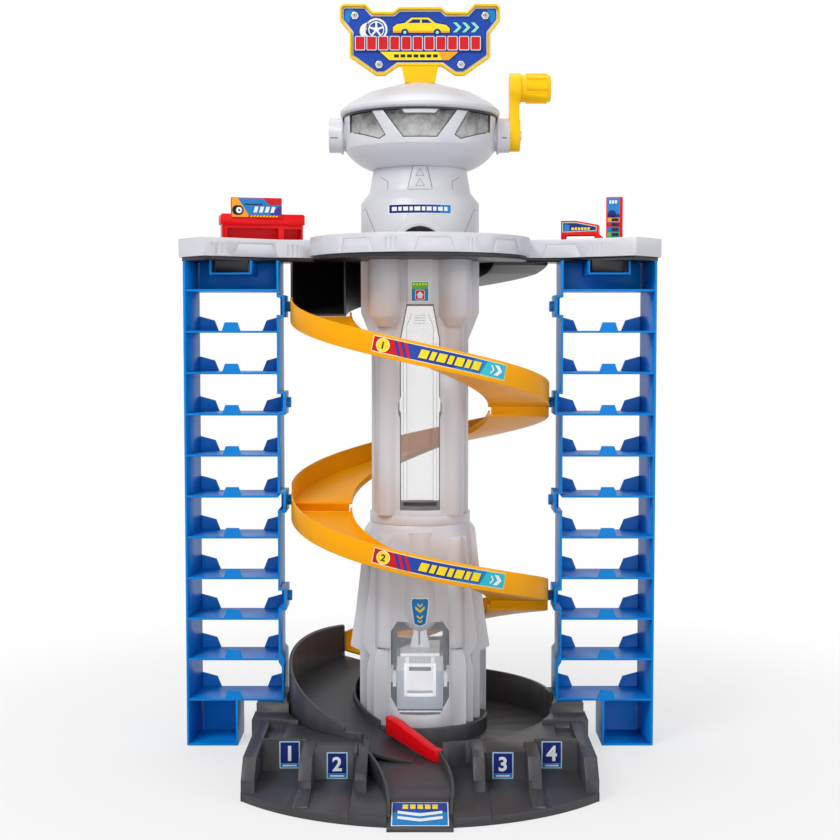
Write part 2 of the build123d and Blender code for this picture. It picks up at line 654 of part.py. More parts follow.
with BuildPart() as foot:
    turned([(0, 24), (52, 24), (52, 110), (51, 180), (50, 200), (47, RING_LOW_Z), (0, RING_LOW_Z)])
    fin = [
        (40, RING_LOW_Z),
        (46, RING_LOW_Z),
        (52.4, 204),
        (56.5, 165),
        (61, 126),
        (65.8, 96),
        (65.8, 93),
        (57, 89),
        (57, FOOT_BOTTOM_Z),
        (40, FOOT_BOTTOM_Z),
    ]
    # broad cheek in front of each fin, with a skirt that steps in above the base
    cheek = [
        (34, 204),
        (43, 200),
        (48, 150),
        (52, 118),
        (54, 98),
        (47, 88),
        (50, 76),
        (50, FOOT_BOTTOM_Z),
        (30, FOOT_BOTTOM_Z),
        (30, 80),
        (34, 92),
    ]
    for side in (-1, 1):
        front_prism([(side * x, z) for x, z in fin], -14, 14)
        front_prism([(side * x, z) for x, z in cheek], -30, 30)
        for y in (-35.5, 35.5):
            # rib that runs up the tower and stands on a boot beside the door
            with BuildSketch(Plane.XY.offset(98)) as rib_plan:
                with Locations((side * 31, y)):
                    Circle(RIB_R)
            extrude(rib_plan.sketch, amount=104, taper=1.2)
            boot = [(side * 27.2, 24), (side * 27.2, 84), (side * 31, 96), (side * 40, 96), (side * 43, 84), (side * 43, 24)]
            front_prism(boot, min(y, 0) - (7 if y < 0 else 0), max(y, 0) + (7 if y > 0 else 0))
    turned([(0, 20)] + FOOT_SHELL + [(0, RING_LOW_Z + 1)], Mode.SUBTRACT)
    front_prism(door, -80, 0, Mode.SUBTRACT)
    block((-22.2, 0, 20), (22.2, 80, 96), Mode.SUBTRACT)
    # nose cone over the door
    with BuildSketch(Plane.XZ.offset(-NOSE_Y)) as nose_profile:
        with BuildLine():
            cone = Polyline((0, NOSE_LOW_Z), (0, 206), (16.5, 206), (NOSE_R, 134))
            ThreePointArc(cone @ 1, (13.5, 117.5), cone @ 0)
        make_face()
    revolve(nose_profile.sketch, axis=Axis((0, NOSE_Y, 0), (0, 0, 1)))
    turned([(0, 20)] + FOOT_SHELL + [(0, RING_LOW_Z + 1)], Mode.SUBTRACT)
column_lower_front = half_shell(foot.part, True)
write(column_lower_front, "column_lower_front")
column_lower_back = half_shell(foot.part, False)
write(column_lower_back, "column_lower_back")

# clear pane in the lift's front door
with BuildPart() as lift_door_window:
    turned([(FOOT_INNER_R + 0.4, 24), (FOOT_INNER_R + 2, 24), (FOOT_INNER_R + 2, 125), (FOOT_INNER_R + 0.4, 125)])
    front_prism(door, -80, 0, Mode.INTERSECT)
    add(column_lower_front, mode=Mode.SUBTRACT)
write(lift_door_window.part, "lift_door_window")

# white frame behind the door's pane
with BuildPart() as door_frame:
    turned([(46.8, 50), (FOOT_INNER_R + 0.4, 50), (FOOT_INNER_R + 0.4, 90), (46.8, 90)])
    front_prism([(-15, 52.7), (15, 52.7), (15, 84), (-15, 84)], -80, 0, Mode.INTERSECT)
    front_prism([(-12, 55.5), (12, 55.5), (12, 81), (-12, 81)], -80, 0, Mode.SUBTRACT)
write(door_frame.part, "door_frame")

# ring between foot and slim column
with BuildPart() as column_ring:
    turned([(SLIM_INNER_R, RING_LOW_Z), (47.6, RING_LOW_Z), (47.6, RING_HIGH_Z), (SLIM_INNER_R, RING_HIGH_Z)])
write(column_ring.part, "column_ring")

HEAD_BODY_R = 47.5
LOBE_X = 31.4
LOBE_Y = 36.0
LOBE_R = 16.3
LOBE_LOW_Z = 406.4
LOBE_FOOT_Z = 395.8
SLIM_RIB = (28.5, 29.0, 12.0)
PANEL_HALF = 11.3
SHAFT_TOP_Z = 416.5
shaft_opening = [
    (-18.6, WINDOW_LOW_Z),
    (18.6, WINDOW_LOW_Z),
    (18.6, 312),
    (WINDOW_HALF, 315),
    (WINDOW_HALF, 325),
    (18.6, 328),
    (18.6, 384),
    (12.4, SHAFT_TOP_Z),
    (-12.4, SHAFT_TOP_Z),
    (-18.6, 384),
    (-18.6, 328),
    (-WINDOW_HALF, 325),
    (-WINDOW_HALF, 315),
    (-18.6, 312),
]
with BuildPart() as upper:
    turned(
        [
            (0, RING_HIGH_Z),
            (COLUMN_R, RING_HIGH_Z),
            (COLUMN_R, TAPER_LOW_Z),
            (HEAD_BODY_R, TAPER_HIGH_Z),
            (HEAD_BODY_R, DECK_UNDER_Z),
            (0, DECK_UNDER_Z),
        ]
    )
    flange = [
        (40, RING_HIGH_Z),
        (COLUMN_R, RING_HIGH_Z),
        (COLUMN_R, TAPER_LOW_Z),
        (55.4, TAPER_HIGH_Z + 1),
        (55.4, DECK_UNDER_Z),
        (40, DECK_UNDER_Z),
    ]
    for side in (-1, 1):
        front_prism([(side * x, z) for x, z in flange], -13, 13)
        for end in (-1, 1):
            rib_x, rib_y, rib_r = SLIM_RIB
            round_bar((side * rib_x, end * rib_y), rib_r, RING_HIGH_Z, LOBE_LOW_Z)
            lobe_axis = Axis((side * LOBE_X, end * LOBE_Y, 0), (0, 0, 1))
            with BuildSketch(Plane.XZ.offset(-end * LOBE_Y)) as lobe_profile:
                with BuildLine():
                    Polyline(
                        (side * LOBE_X, LOBE_FOOT_Z),
                        (side * (LOBE_X + 9), LOBE_FOOT_Z),
                        (side * (LOBE_X + LOBE_R), LOBE_LOW_Z),
                        (side * (LOBE_X + LOBE_R), DECK_UNDER_Z),
                        (side * LOBE_X, DECK_UNDER_Z),
                        close=True,
                    )
                make_face()
            revolve(lobe_profile.sketch, axis=lobe_axis)
    # plate over the window, front and back
    for low_y, high_y in ((-50.5, -40), (40, 50.5)):
        block((-PANEL_HALF, low_y, SHAFT_TOP_Z), (PANEL_HALF, high_y, DECK_UNDER_Z))
    turned(
        [
            (0, RING_LOW_Z),
            (SLIM_INNER_R, RING_LOW_Z),
            (SLIM_INNER_R, DECK_UNDER_Z + 1),
            (0, DECK_UNDER_Z + 1),
        ],
        Mode.SUBTRACT,
    )
    front_prism(shaft_opening, -80, 80, Mode.SUBTRACT)
column_upper_front = half_shell(upper.part, True)
write(column_upper_front, "column_upper_front")
column_upper_back = half_shell(upper.part, False)
write(column_upper_back, "column_upper_back")

# clear panes of the shaft, front and back
PANE_T = 1.4
with BuildPart() as shaft_panes:
    pane_outer_r = SLIM_INNER_R + PANE_T
    turned(
        [
            (SLIM_INNER_R, RING_HIGH_Z),
            (pane_outer_r, RING_HIGH_Z),
            (pane_outer_r, TAPER_HIGH_Z + 12),
            (SLIM_INNER_R, TAPER_HIGH_Z + 12),
        ]
    )
    front_prism(shaft_opening, -80, 80, Mode.INTERSECT)
    # raised stiles and the rungs between them at the top
    for end in (-1, 1):
        for side in (-1, 1):
            stile = [(side * 13.4, 238), (side * 15, 238), (side * 15, 380), (side * 10.6, 404), (side * 9, 404), (side * 13.4, 378)]
            low_y, high_y = sorted((end * 39.5, end * (pane_outer_r + 0.6)))
            front_prism(stile, low_y, high_y)
        for rung in range(5):
            rung_z = 380 + 6 * rung
            half = 12.5 - 0.8 * rung
            low_y, high_y = sorted((end * 41, end * (pane_outer_r + 0.8)))
            block((-half, low_y, rung_z), (half, high_y, rung_z + 1.6))
    turned([(0, 200), (SLIM_INNER_R, 200), (SLIM_INNER_R, 450), (0, 450)], Mode.SUBTRACT)
shaft_window_front = half_shell(shaft_panes.part, True)
write(shaft_window_front, "shaft_window_front")
shaft_window_back = half_shell(shaft_panes.part, False)
write(shaft_window_back, "shaft_window_back")

# two T-section rails the lift climbs between
RAIL_HEAD_X = 28.6
RAIL_TOP_Z = 519.0
with BuildPart() as guide_rails:
    for side in (-1, 1):
        with BuildSketch(Plane.XY.offset(FOOT_BOTTOM_Z)) as rail_plan:
            with Locations((side * (RAIL_HEAD_X + 1), 0)):
                Rectangle(2, 8)
            with Locations((side * (RAIL_HEAD_X + 10), 0)):
                Rectangle(20, 2)
            Circle(SLIM_INNER_R, mode=Mode.INTERSECT)
        extrude(rail_plan.sketch, amount=RAIL_TOP_Z - FOOT_BOTTOM_Z)
write(guide_rails.part, "guide_rails")

# ---------------------------------------------------------------- deck
DECK_HOLE_R = 44.0
RAMP_HOLE_DEG = (5.0, 55.0)
TONGUE_HALF = 15.4


def deck_outline():
    """Plan of the deck: two pointed lobes, a round front and a round back."""
    ThreePointArc((-101.6, 1.6), (0, -116), (101.6, 1.6))
    Polyline(
        (101.6, 1.6),
        (134, -4),
        (197.5, -48),
        (226, -14),
        (226, 14),
        (197.5, 48),
        (140, 36),
        (120.1, 41.3),
    )
    ThreePointArc((120.1, 41.3), (0, 127), (-120.1, 41.3))
    Polyline(
        (-120.1, 41.3),
        (-140, 36),
        (-197.5, 48),
        (-226, 14),
        (-226, -14),
        (-197.5, -48),
        (-134, -4),
        (-101.6, 1.6),
    )


RIM_SKIN = 0.5


def engrave(shapes):
    """Cut shallow lines, drawn as (x, z) outlines, into the front of the deck's rim."""
    with BuildPart() as skin:
        with BuildSketch(Plane.XY.offset(DECK_RIM_LOW_Z)) as ring_plan:
            with BuildLine():
                deck_outline()
            make_face()
            with BuildSketch(mode=Mode.PRIVATE) as core:
                with BuildLine():
                    deck_outline()
                make_face()
                offset(amount=-RIM_SKIN, kind=Kind.INTERSECTION)
            add(core.sketch, mode=Mode.SUBTRACT)
        extrude(amount=DECK_RIM_HIGH_Z - DECK_RIM_LOW_Z)
        with BuildSketch(Plane.XZ) as lines:
            for shape in shapes:
                with BuildLine():
                    Polyline(*shape, close=True)
                make_face()
        extrude(lines.sketch, amount=150, mode=Mode.INTERSECT)
    return skin.part


def frame_lines(low_left, low_right, high_left, high_right, low_z=461.0, high_z=473.5, t=0.9):
    """Outlines of a trapezoid's two sides and its top."""
    return [
        [(low_left, low_z), (low_left + t, low_z), (high_left + t, high_z), (high_left, high_z)],
        [(low_right, low_z), (low_right - t, low_z), (high_right - t, high_z), (high_right, high_z)],
        [(high_left, high_z - t), (high_right, high_z - t), (high_right, high_z), (high_left, high_z)],
    ]


rim_lines = frame_lines(-69.8, -40.2, -67.6, -44.6) + frame_lines(-5.5, 31.6, -1, 26.6)
rim_lines += frame_lines(63, 90, 66.9, 86) + frame_lines(-172.6, -133.7, -168.4, -138.4)
rim_lines += frame_lines(114.3, 151.1, 119.1, 146)
rim_grooves = (-190.6, -186, -181.7, -124.4, -120, -115.6, -29.5, -25.4, -21.2, 42.5, 46.2, 50.3, 160.1, 164.2, 168.6)
for x in rim_grooves:
    rim_lines.append([(x - 0.6, 462), (x + 0.6, 462), (x + 0.6, 473), (x - 0.6, 473)])

with BuildPart() as deck_top:
    with BuildSketch(Plane.XY.offset(DECK_RIM_LOW_Z)) as deck_plan:
        with BuildLine():
            deck_outline()
        make_face()
    extrude(amount=DECK_RIM_HIGH_Z - DECK_RIM_LOW_Z)
    with BuildSketch(Plane.XY.offset(DECK_FLOOR_Z)) as tray_plan:
        with BuildLine():
            deck_outline()
        make_face()
        offset(amount=-DECK_RIM_T, kind=Kind.INTERSECTION)
    extrude(amount=40, mode=Mode.SUBTRACT)
    round_bar((0, 0), DECK_HOLE_R, 400, 600, Mode.SUBTRACT)
    ramp_hole = (RAMP_HOLE_DEG[0], RAMP_HOLE_DEG[1] - RAMP_HOLE_DEG[0], Mode.SUBTRACT)
    sector(RAMP_INNER_R + THIN, TRACK_OUTER_R - THIN - 2, 400, 500, *ramp_hole)
    add(engrave(rim_lines), mode=Mode.SUBTRACT)
write(deck_top.part, "deck_top")

with BuildPart() as deck_underside:
    with BuildSketch(Plane.XY.offset(DECK_UNDER_Z)) as under_plan:
        with BuildLine():
            deck_outline()
        make_face()
        offset(amount=-3, kind=Kind.INTERSECTION)
    extrude(amount=DECK_RIM_LOW_Z - DECK_UNDER_Z)
    for side in (-1, 1):
        tongue_low = (side * BAY_CENTRE_X - TONGUE_HALF, RACK_FRONT_Y + 6, CHANNEL_LOW_Z + 0.3)
        block(tongue_low, (side * BAY_CENTRE_X + TONGUE_HALF, 24, DECK_UNDER_Z + 1))
    round_bar((0, 0), DECK_HOLE_R, 400, 600, Mode.SUBTRACT)
    sector(RAMP_INNER_R + THIN, TRACK_OUTER_R - THIN - 2, 400, 500, *ramp_hole)
write(deck_underside.part, "deck_underside")

# ---------------------------------------------------------------- head
NECK_LOW_Z = 521.0
NECK_HIGH_Z = 542.5
BOWL_HIGH_Z = 560.5
BAND_HIGH_Z = 597.5
BAND_LOW_R = 70.1
BAND_HIGH_R = 71.9
HUB_R = 16.0
HUB_SEAT_R = 14.5
HUB_FLANGE_R = 17.5
AXLE_R = 4.0

# raised plate on the front of the neck
with BuildPart() as neck_panel:
    turned([(0, NECK_LOW_Z), (48.8, NECK_LOW_Z), (45, NECK_HIGH_Z), (0, NECK_HIGH_Z)])
    plate = [(-11, NECK_LOW_Z), (11, NECK_LOW_Z), (6, NECK_HIGH_Z), (-6, NECK_HIGH_Z)]
    front_prism(plate, -80, 0, Mode.INTERSECT)

with BuildPart() as drum_neck:
    turned(
        [
            (55.6, DECK_FLOOR_Z),
            (55.6, 511),
            (48.6, 520),
            (47.6, NECK_LOW_Z),
            (43.8, NECK_HIGH_Z),
            (41.4, NECK_HIGH_Z),
            (45.0, NECK_LOW_Z),
            (46.0, 519),
            (53.2, 510),
            (53.2, DECK_FLOOR_Z),
        ]
    )
    add(neck_panel.part)
    arch_frame = [
        (-19.6, DECK_FLOOR_Z),
        (-19.6, 483),
        (-11, 490.5),
        (11, 490.5),
        (19.6, 483),
        (19.6, DECK_FLOOR_Z),
    ]
    front_prism(arch_frame, -57.2, -47)
    turned([(0, 400), (53.2, 400), (53.2, 510), (46, 519), (45, NECK_LOW_Z), (41.4, NECK_HIGH_Z), (0, NECK_HIGH_Z)], Mode.SUBTRACT)
    with BuildSketch(Plane.XZ) as arch:
        with BuildLine():
            Polyline((-17, 478), (-17, DECK_FLOOR_Z - 1), (17, DECK_FLOOR_Z - 1), (17, 478))
            ThreePointArc((17, 478), (0, 487), (-17, 478))
        make_face()
    extrude(arch.sketch, amount=80, mode=Mode.SUBTRACT)
write(drum_neck.part, "drum_neck")

with BuildPart() as head_bowl:
    turned([(43.8, NECK_HIGH_Z), (BAND_LOW_R, BOWL_HIGH_Z), (BAND_LOW_R - WALL, BOWL_HIGH_Z), (41.4, NECK_HIGH_Z + 0.5), (41.4, NECK_HIGH_Z)])
write(head_bowl.part, "head_bowl")

centre_window = [
    (-33, 590.6),
    (-18, 590.6),
    (-14, 585.8),
    (14, 585.8),
    (18, 590.6),
    (33, 590.6),
    (14.9, 566.2),
    (-14.9, 566.2),
]
side_window = [(64.2, 591.3), (44.3, 590.5), (32, 568.4), (36.8, 565.6), (63.6, 574.5)]
head_windows = (centre_window, side_window, [(-x, z) for x, z in side_window])

with BuildPart() as window_frame:
    turned(
        [
            (BAND_LOW_R, BOWL_HIGH_Z),
            (BAND_HIGH_R, BAND_HIGH_Z),
            (BAND_HIGH_R - WALL, BAND_HIGH_Z),
            (BAND_LOW_R - WALL, BOWL_HIGH_Z),
        ]
    )
    for opening in head_windows:
        front_prism(opening, -80, 0, Mode.SUBTRACT)
    with BuildSketch(Plane.YZ.offset(-90)) as hub_holes:
        with Locations((0, CRANK_Z)):
            Circle(HUB_SEAT_R)
    extrude(hub_holes.sketch, amount=180, mode=Mode.SUBTRACT)
write(window_frame.part, "window_frame")

with BuildPart() as window_panes:
    turned(
        [
            (BAND_LOW_R - 0.8, BOWL_HIGH_Z),
            (BAND_HIGH_R - 0.8, BAND_HIGH_Z),
            (BAND_HIGH_R - WALL, BAND_HIGH_Z),
            (BAND_LOW_R - WALL, BOWL_HIGH_Z),
        ]
    )
    with BuildSketch(Plane.XZ) as pane_outlines:
        for opening in head_windows:
            with BuildLine():
                Polyline(*opening, close=True)
            make_face()
    extrude(pane_outlines.sketch, amount=90, mode=Mode.INTERSECT)
write(window_panes.part, "window_panes")

ROOF_OUTLINE = [
    (0, 624),
    (14, 623.5),
    (50, 613),
    (68, 603),
    (74.8, 597),
    (74.8, 594),
    (BAND_HIGH_R, 592),
    (BAND_HIGH_R, BAND_HIGH_Z),
    (66, BAND_HIGH_Z),
    (66, 601.6),
    (49, 610.6),
    (13.6, 621),
    (0, 621.5),
]
with BuildPart() as roof:
    turned(ROOF_OUTLINE)
write(roof.part, "roof")


def crosswise_bar(radius, low_x, high_x, z, mode=Mode.ADD):
    """A cylinder along X at a height above the floor."""
    with BuildSketch(Plane.YZ.offset(low_x)) as end:
        with Locations((0, z)):
            Circle(radius)
    extrude(end.sketch, amount=high_x - low_x, mode=mode)


with BuildPart() as hub_cap_left:
    crosswise_bar(HUB_R, -85, -74, CRANK_Z)
    crosswise_bar(HUB_FLANGE_R, -74, -72, CRANK_Z)
    turned(ROOF_OUTLINE, Mode.SUBTRACT)
    crosswise_bar(HUB_SEAT_R, -72, -66, CRANK_Z)
    crosswise_bar(AXLE_R + RUNNING_GAP, -80, -60, CRANK_Z, Mode.SUBTRACT)
write(hub_cap_left.part, "hub_cap_left")

with BuildPart() as hub_bearing_right:
    crosswise_bar(HUB_R, 74, 83.9, CRANK_Z)
    crosswise_bar(HUB_FLANGE_R, 72, 74, CRANK_Z)
    turned(ROOF_OUTLINE, Mode.SUBTRACT)
    crosswise_bar(HUB_SEAT_R, 66, 72, CRANK_Z)
    crosswise_bar(AXLE_R + RUNNING_GAP, 60, 90, CRANK_Z, Mode.SUBTRACT)
write(hub_bearing_right.part, "hub_bearing_right")

# ---------------------------------------------------------------- sign
SIGN_BACK_Y = -12.0
SIGN_FRONT_Y = -21.0
SIGN_POCKET_Y = -15.0
SIGN_PANEL_Y = -17.0
sign_half = [
    (0, 690.2),
    (19.6, 690.2),
    (24.8, 686),
    (43.6, 686),
    (50.1, 693.1),
    (70.9, 693.1),
    (74.0, 690.3),
    (74.1, 678.7),
    (65.0, 667.2),
    (65.1, 645.4),
    (41.0, 628.6),
    (32.5, 628.6),
    (20.1, 637.0),
    (0, 637.0),
]
sign_outline = sign_half + [(-x, z) for x, z in reversed(sign_half[1:-1])]
with BuildPart() as sign_frame:
    front_prism(sign_outline, SIGN_FRONT_Y, SIGN_BACK_Y)
    with BuildSketch(Plane.XZ.offset(-SIGN_POCKET_Y)) as pocket_outline:
        with BuildLine():
            Polyline(*sign_outline, close=True)
        make_face()
        offset(amount=-1.8, kind=Kind.INTERSECTION)
    extrude(pocket_outline.sketch, amount=10, mode=Mode.SUBTRACT)
write(sign_frame.part, "sign_frame")

with BuildPart() as sign_panel:
    with BuildSketch(Plane.XZ.offset(-SIGN_POCKET_Y)) as panel_outline:
        with BuildLine():
            Polyline(*sign_outline, close=True)
        make_face()
        offset(amount=-2.0, kind=Kind.INTERSECTION)
    extrude(amount=SIGN_POCKET_Y - SIGN_PANEL_Y)
write(sign_panel.part, "sign_panel")

with BuildPart() as sign_stem:
    front_prism([(-13.5, 600), (-13.5, 621), (-17.1, 637), (17.1, 637), (13.5, 621), (13.5, 600)], -20, -10)
    turned(ROOF_OUTLINE, Mode.SUBTRACT)
    block((-20, -30, 590), (20, 0, 621.4), Mode.SUBTRACT)
write(sign_stem.part, "sign_stem")

SIGN_BOLTS = ((-60.3, 683), (60.3, 683), (-38, 638.2), (38, 638.2))
with BuildPart() as sign_bolts:
    with BuildSketch(Plane.XZ.offset(-SIGN_PANEL_Y)) as bolt_heads:
        with Locations(*SIGN_BOLTS):
            RegularPolygon(3.9, 6)
    extrude(amount=1.8)
write(sign_bolts.part, "sign_bolts")

# ---------------------------------------------------------------- deck buildings
SHOP_CORNER = (-188.0, -1.0)
SHOP_TURN = 13.0
SHOP_W = 80.0
SHOP_D = 21.0
SHOP_BAND_Z = 493.0
SHOP_HIGH_Z = 502.9
CANOPY_CORNER = (134.0, 9.0)
CANOPY_TURN = -10.0


def placed(solid, corner, turn_deg):
    """Stand a piece built at the origin on the deck, turned about the vertical."""
    return solid.moved(Location((*corner, DECK_FLOOR_Z), (0, 0, turn_deg)))


band_z = SHOP_BAND_Z - DECK_FLOOR_Z
roof_z = SHOP_HIGH_Z - DECK_FLOOR_Z
with BuildPart() as shop_local:
    block((1.6, 1.6, 0), (SHOP_W - 1.6, SHOP_D - 1.6, band_z))
    house_band = [(0, band_z), (0, roof_z - 1.5), (1.5, roof_z), (SHOP_W - 1.5, roof_z), (SHOP_W, roof_z - 1.5), (SHOP_W, band_z)]
    front_prism(house_band, 0, SHOP_D)
    block((3.6, 3.6, -1), (SHOP_W - 3.6, SHOP_D - 3.6, band_z + 4), Mode.SUBTRACT)
    # door, window and the rim round the roof
    block((6.2, 0, -1), (54.9, 5, 24.5), Mode.SUBTRACT)
    block((60, 0, 8), (76.7, 5, 24), Mode.SUBTRACT)
    block((2, 2, roof_z - 2.5), (SHOP_W - 2, SHOP_D - 2, roof_z + 1), Mode.SUBTRACT)
shop_body = placed(shop_local.part, SHOP_CORNER, SHOP_TURN)
write(shop_body, "shop_body")

with BuildPart() as board_local:
    block((9.5, -1.8, 34), (57.8, 0, 53))
shop_board = placed(board_local.part, SHOP_CORNER, SHOP_TURN)
write(shop_board, "shop_board")

with BuildPart() as canopy_local:
    canopy = [(0, 18), (0, 31.5), (14, 31.5), (35.5, 27.3), (35.5, 15.6), (31.5, 15.6), (31.5, 18)]
    front_prism(canopy, 0, 22)
    block((1.8, 1.8, 10), (33.5, 20.2, 25), Mode.SUBTRACT)
    block((0, 0, 0), (3.8, 3.8, 19))
    block((0, 18, 0), (3.8, 21.8, 19))
    block((31.7, 0, 0), (35.5, 3.8, 17))
    block((31.7, 18, 0), (35.5, 21.8, 17))
    block((0, 0, 0), (35.5, 22, 1.6))
    block((12, 6, 0), (23, 16, 14))
    # brace that leans from the canopy to the price board
    front_prism([(35, 20), (35, 14), (42.5, 11), (42.5, 13)], 0, 2)
gas_canopy = placed(canopy_local.part, CANOPY_CORNER, CANOPY_TURN)
write(gas_canopy, "gas_canopy")

with BuildPart() as price_local:
    block((42.6, -1, 0), (58, 4, 53.2))
    block((40.6, -3, 0), (60, 6, 2))
price_board = placed(price_local.part, CANOPY_CORNER, CANOPY_TURN)
write(price_board, "price_board")

# ---------------------------------------------------------------- lift
SHOE_LOW_Z = 57.0
SHOE_HIGH_Z = 70.0
with BuildPart() as lift_floor:
    block((-CABIN_HALF_W, -CABIN_HALF_L, CABIN_LOW_Z), (CABIN_HALF_W, CABIN_HALF_L, CABIN_FLOOR_Z))
write(lift_floor.part, "lift_floor")

with BuildPart() as lift_cabin:
    for side in (-1, 1):
        low_x, high_x = sorted((side * (CABIN_HALF_W - 1.6), side * CABIN_HALF_W))
        block((low_x, -CABIN_HALF_L, CABIN_FLOOR_Z), (high_x, CABIN_HALF_L, CABIN_HIGH_Z))
    block((-CABIN_HALF_W, -CABIN_HALF_L, CABIN_HIGH_Z - 1.6), (CABIN_HALF_W, CABIN_HALF_L, CABIN_HIGH_Z))
write(lift_cabin.part, "lift_cabin")

LINE_Y = -WINDING_R
HANGER_TOP_Z = 112.0
with BuildPart() as lift_frame:
    hanger = [(-9, CABIN_HIGH_Z), (9, CABIN_HIGH_Z), (9, 94), (5, HANGER_TOP_Z), (-5, HANGER_TOP_Z), (-9, 94)]
    front_prism(hanger, LINE_Y - 1.5, LINE_Y + 1.5)
    for side in (-1, 1):
        low_x, high_x = sorted((side * CABIN_HALF_W, side * (RAIL_HEAD_X - 0.3)))
        block((low_x, -8, SHOE_LOW_Z), (high_x, 8, SHOE_HIGH_Z))
write(lift_frame.part, "lift_frame")

with BuildPart() as hoist_line:
    round_bar((0, LINE_Y), LINE_T / 2, HANGER_TOP_Z, CRANK_Z)
write(hoist_line.part, "hoist_line")

# ---------------------------------------------------------------- crank
ARM_LOW_X = 84.0
ARM_THIN_X = 92.8
ARM_HIGH_X = 94.3
KNOB_HIGH_X = 122.2
KNOB_R = 12.5
KNOB_PIN_R = 4.0
KNOB_Z = CRANK_Z + CRANK_THROW
with BuildPart() as crank_axle:
    crosswise_bar(AXLE_R, -79.8, 90, CRANK_Z)
write(crank_axle.part, "crank_axle")

with BuildPart() as crank_spool:
    core_r = WINDING_R - LINE_T / 2
    crosswise_bar(core_r, -6, 6, CRANK_Z)
    for low_x, high_x in ((-8, -6), (6, 8)):
        crosswise_bar(core_r + 7, low_x, high_x, CRANK_Z)
    crosswise_bar(AXLE_R, -9, 9, CRANK_Z, Mode.SUBTRACT)
write(crank_spool.part, "crank_spool")

with BuildPart() as crank_arm:
    crosswise_bar(14.9, ARM_LOW_X, ARM_THIN_X + 0.8, CRANK_Z)
    crosswise_bar(14.1, ARM_LOW_X, ARM_HIGH_X, KNOB_Z)
    with BuildSketch(Plane.YZ.offset(ARM_LOW_X)) as arm_plan:
        with BuildLine():
            Polyline((-12, CRANK_Z), (12, CRANK_Z), (11, KNOB_Z), (-11, KNOB_Z), close=True)
        make_face()
    extrude(arm_plan.sketch, amount=ARM_THIN_X - ARM_LOW_X)
    crosswise_bar(AXLE_R, ARM_LOW_X - 1, 90, CRANK_Z, Mode.SUBTRACT)
    crosswise_bar(KNOB_PIN_R, ARM_HIGH_X, KNOB_HIGH_X - 3, KNOB_Z)
write(crank_arm.part, "crank_arm")

with BuildPart() as crank_knob:
    crosswise_bar(KNOB_R, ARM_HIGH_X + 0.1, KNOB_HIGH_X - 1, KNOB_Z)
    crosswise_bar(KNOB_R - 0.7, KNOB_HIGH_X - 1, KNOB_HIGH_X, KNOB_Z)
    # grip ribs along the knob
    with BuildSketch(Plane.YZ.offset(ARM_HIGH_X + 5)) as ribs:
        with Locations((0, KNOB_Z)):
            with PolarLocations(KNOB_R - 0.6, 8):
                Rectangle(3.4, 5.2)
    extrude(amount=KNOB_HIGH_X - 3 - ARM_HIGH_X - 5)
    crosswise_bar(KNOB_PIN_R + RUNNING_GAP, ARM_HIGH_X, KNOB_HIGH_X - 2.9, KNOB_Z, Mode.SUBTRACT)
write(crank_knob.part, "crank_knob")

with BuildPart() as crank_screw:
    crosswise_bar(4.6, ARM_THIN_X + 0.8, ARM_THIN_X + 2.4, CRANK_Z)
write(crank_screw.part, "crank_screw")
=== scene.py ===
"""Looks of the toy parking garage: plastics, clear panes, stickers, lights and camera."""

import json
import math

import bmesh
import bpy
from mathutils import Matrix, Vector
from mathutils.bvhtree import BVHTree


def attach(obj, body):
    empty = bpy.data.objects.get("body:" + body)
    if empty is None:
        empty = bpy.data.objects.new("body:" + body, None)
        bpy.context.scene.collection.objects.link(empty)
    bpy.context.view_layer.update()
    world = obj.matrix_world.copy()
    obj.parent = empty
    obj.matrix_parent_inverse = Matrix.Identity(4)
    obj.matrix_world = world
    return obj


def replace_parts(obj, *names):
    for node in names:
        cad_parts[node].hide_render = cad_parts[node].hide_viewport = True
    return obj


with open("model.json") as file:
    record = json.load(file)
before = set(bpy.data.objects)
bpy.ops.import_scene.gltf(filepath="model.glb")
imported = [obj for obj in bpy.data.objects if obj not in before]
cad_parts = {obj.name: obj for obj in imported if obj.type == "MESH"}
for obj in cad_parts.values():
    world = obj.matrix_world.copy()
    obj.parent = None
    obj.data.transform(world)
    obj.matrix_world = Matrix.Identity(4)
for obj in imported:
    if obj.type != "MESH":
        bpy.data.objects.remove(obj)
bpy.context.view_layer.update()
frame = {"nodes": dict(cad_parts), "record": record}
nodes = frame["nodes"]
MM = 0.001


# ---------------------------------------------------------------- materials
def srgb(red, green, blue):
    """Linear colour of an 8-bit display colour."""
    def linear(value):
        value /= 255
        return value / 12.92 if value <= 0.04045 else ((value + 0.055) / 1.055) ** 2.4

    return (linear(red), linear(green), linear(blue), 1)


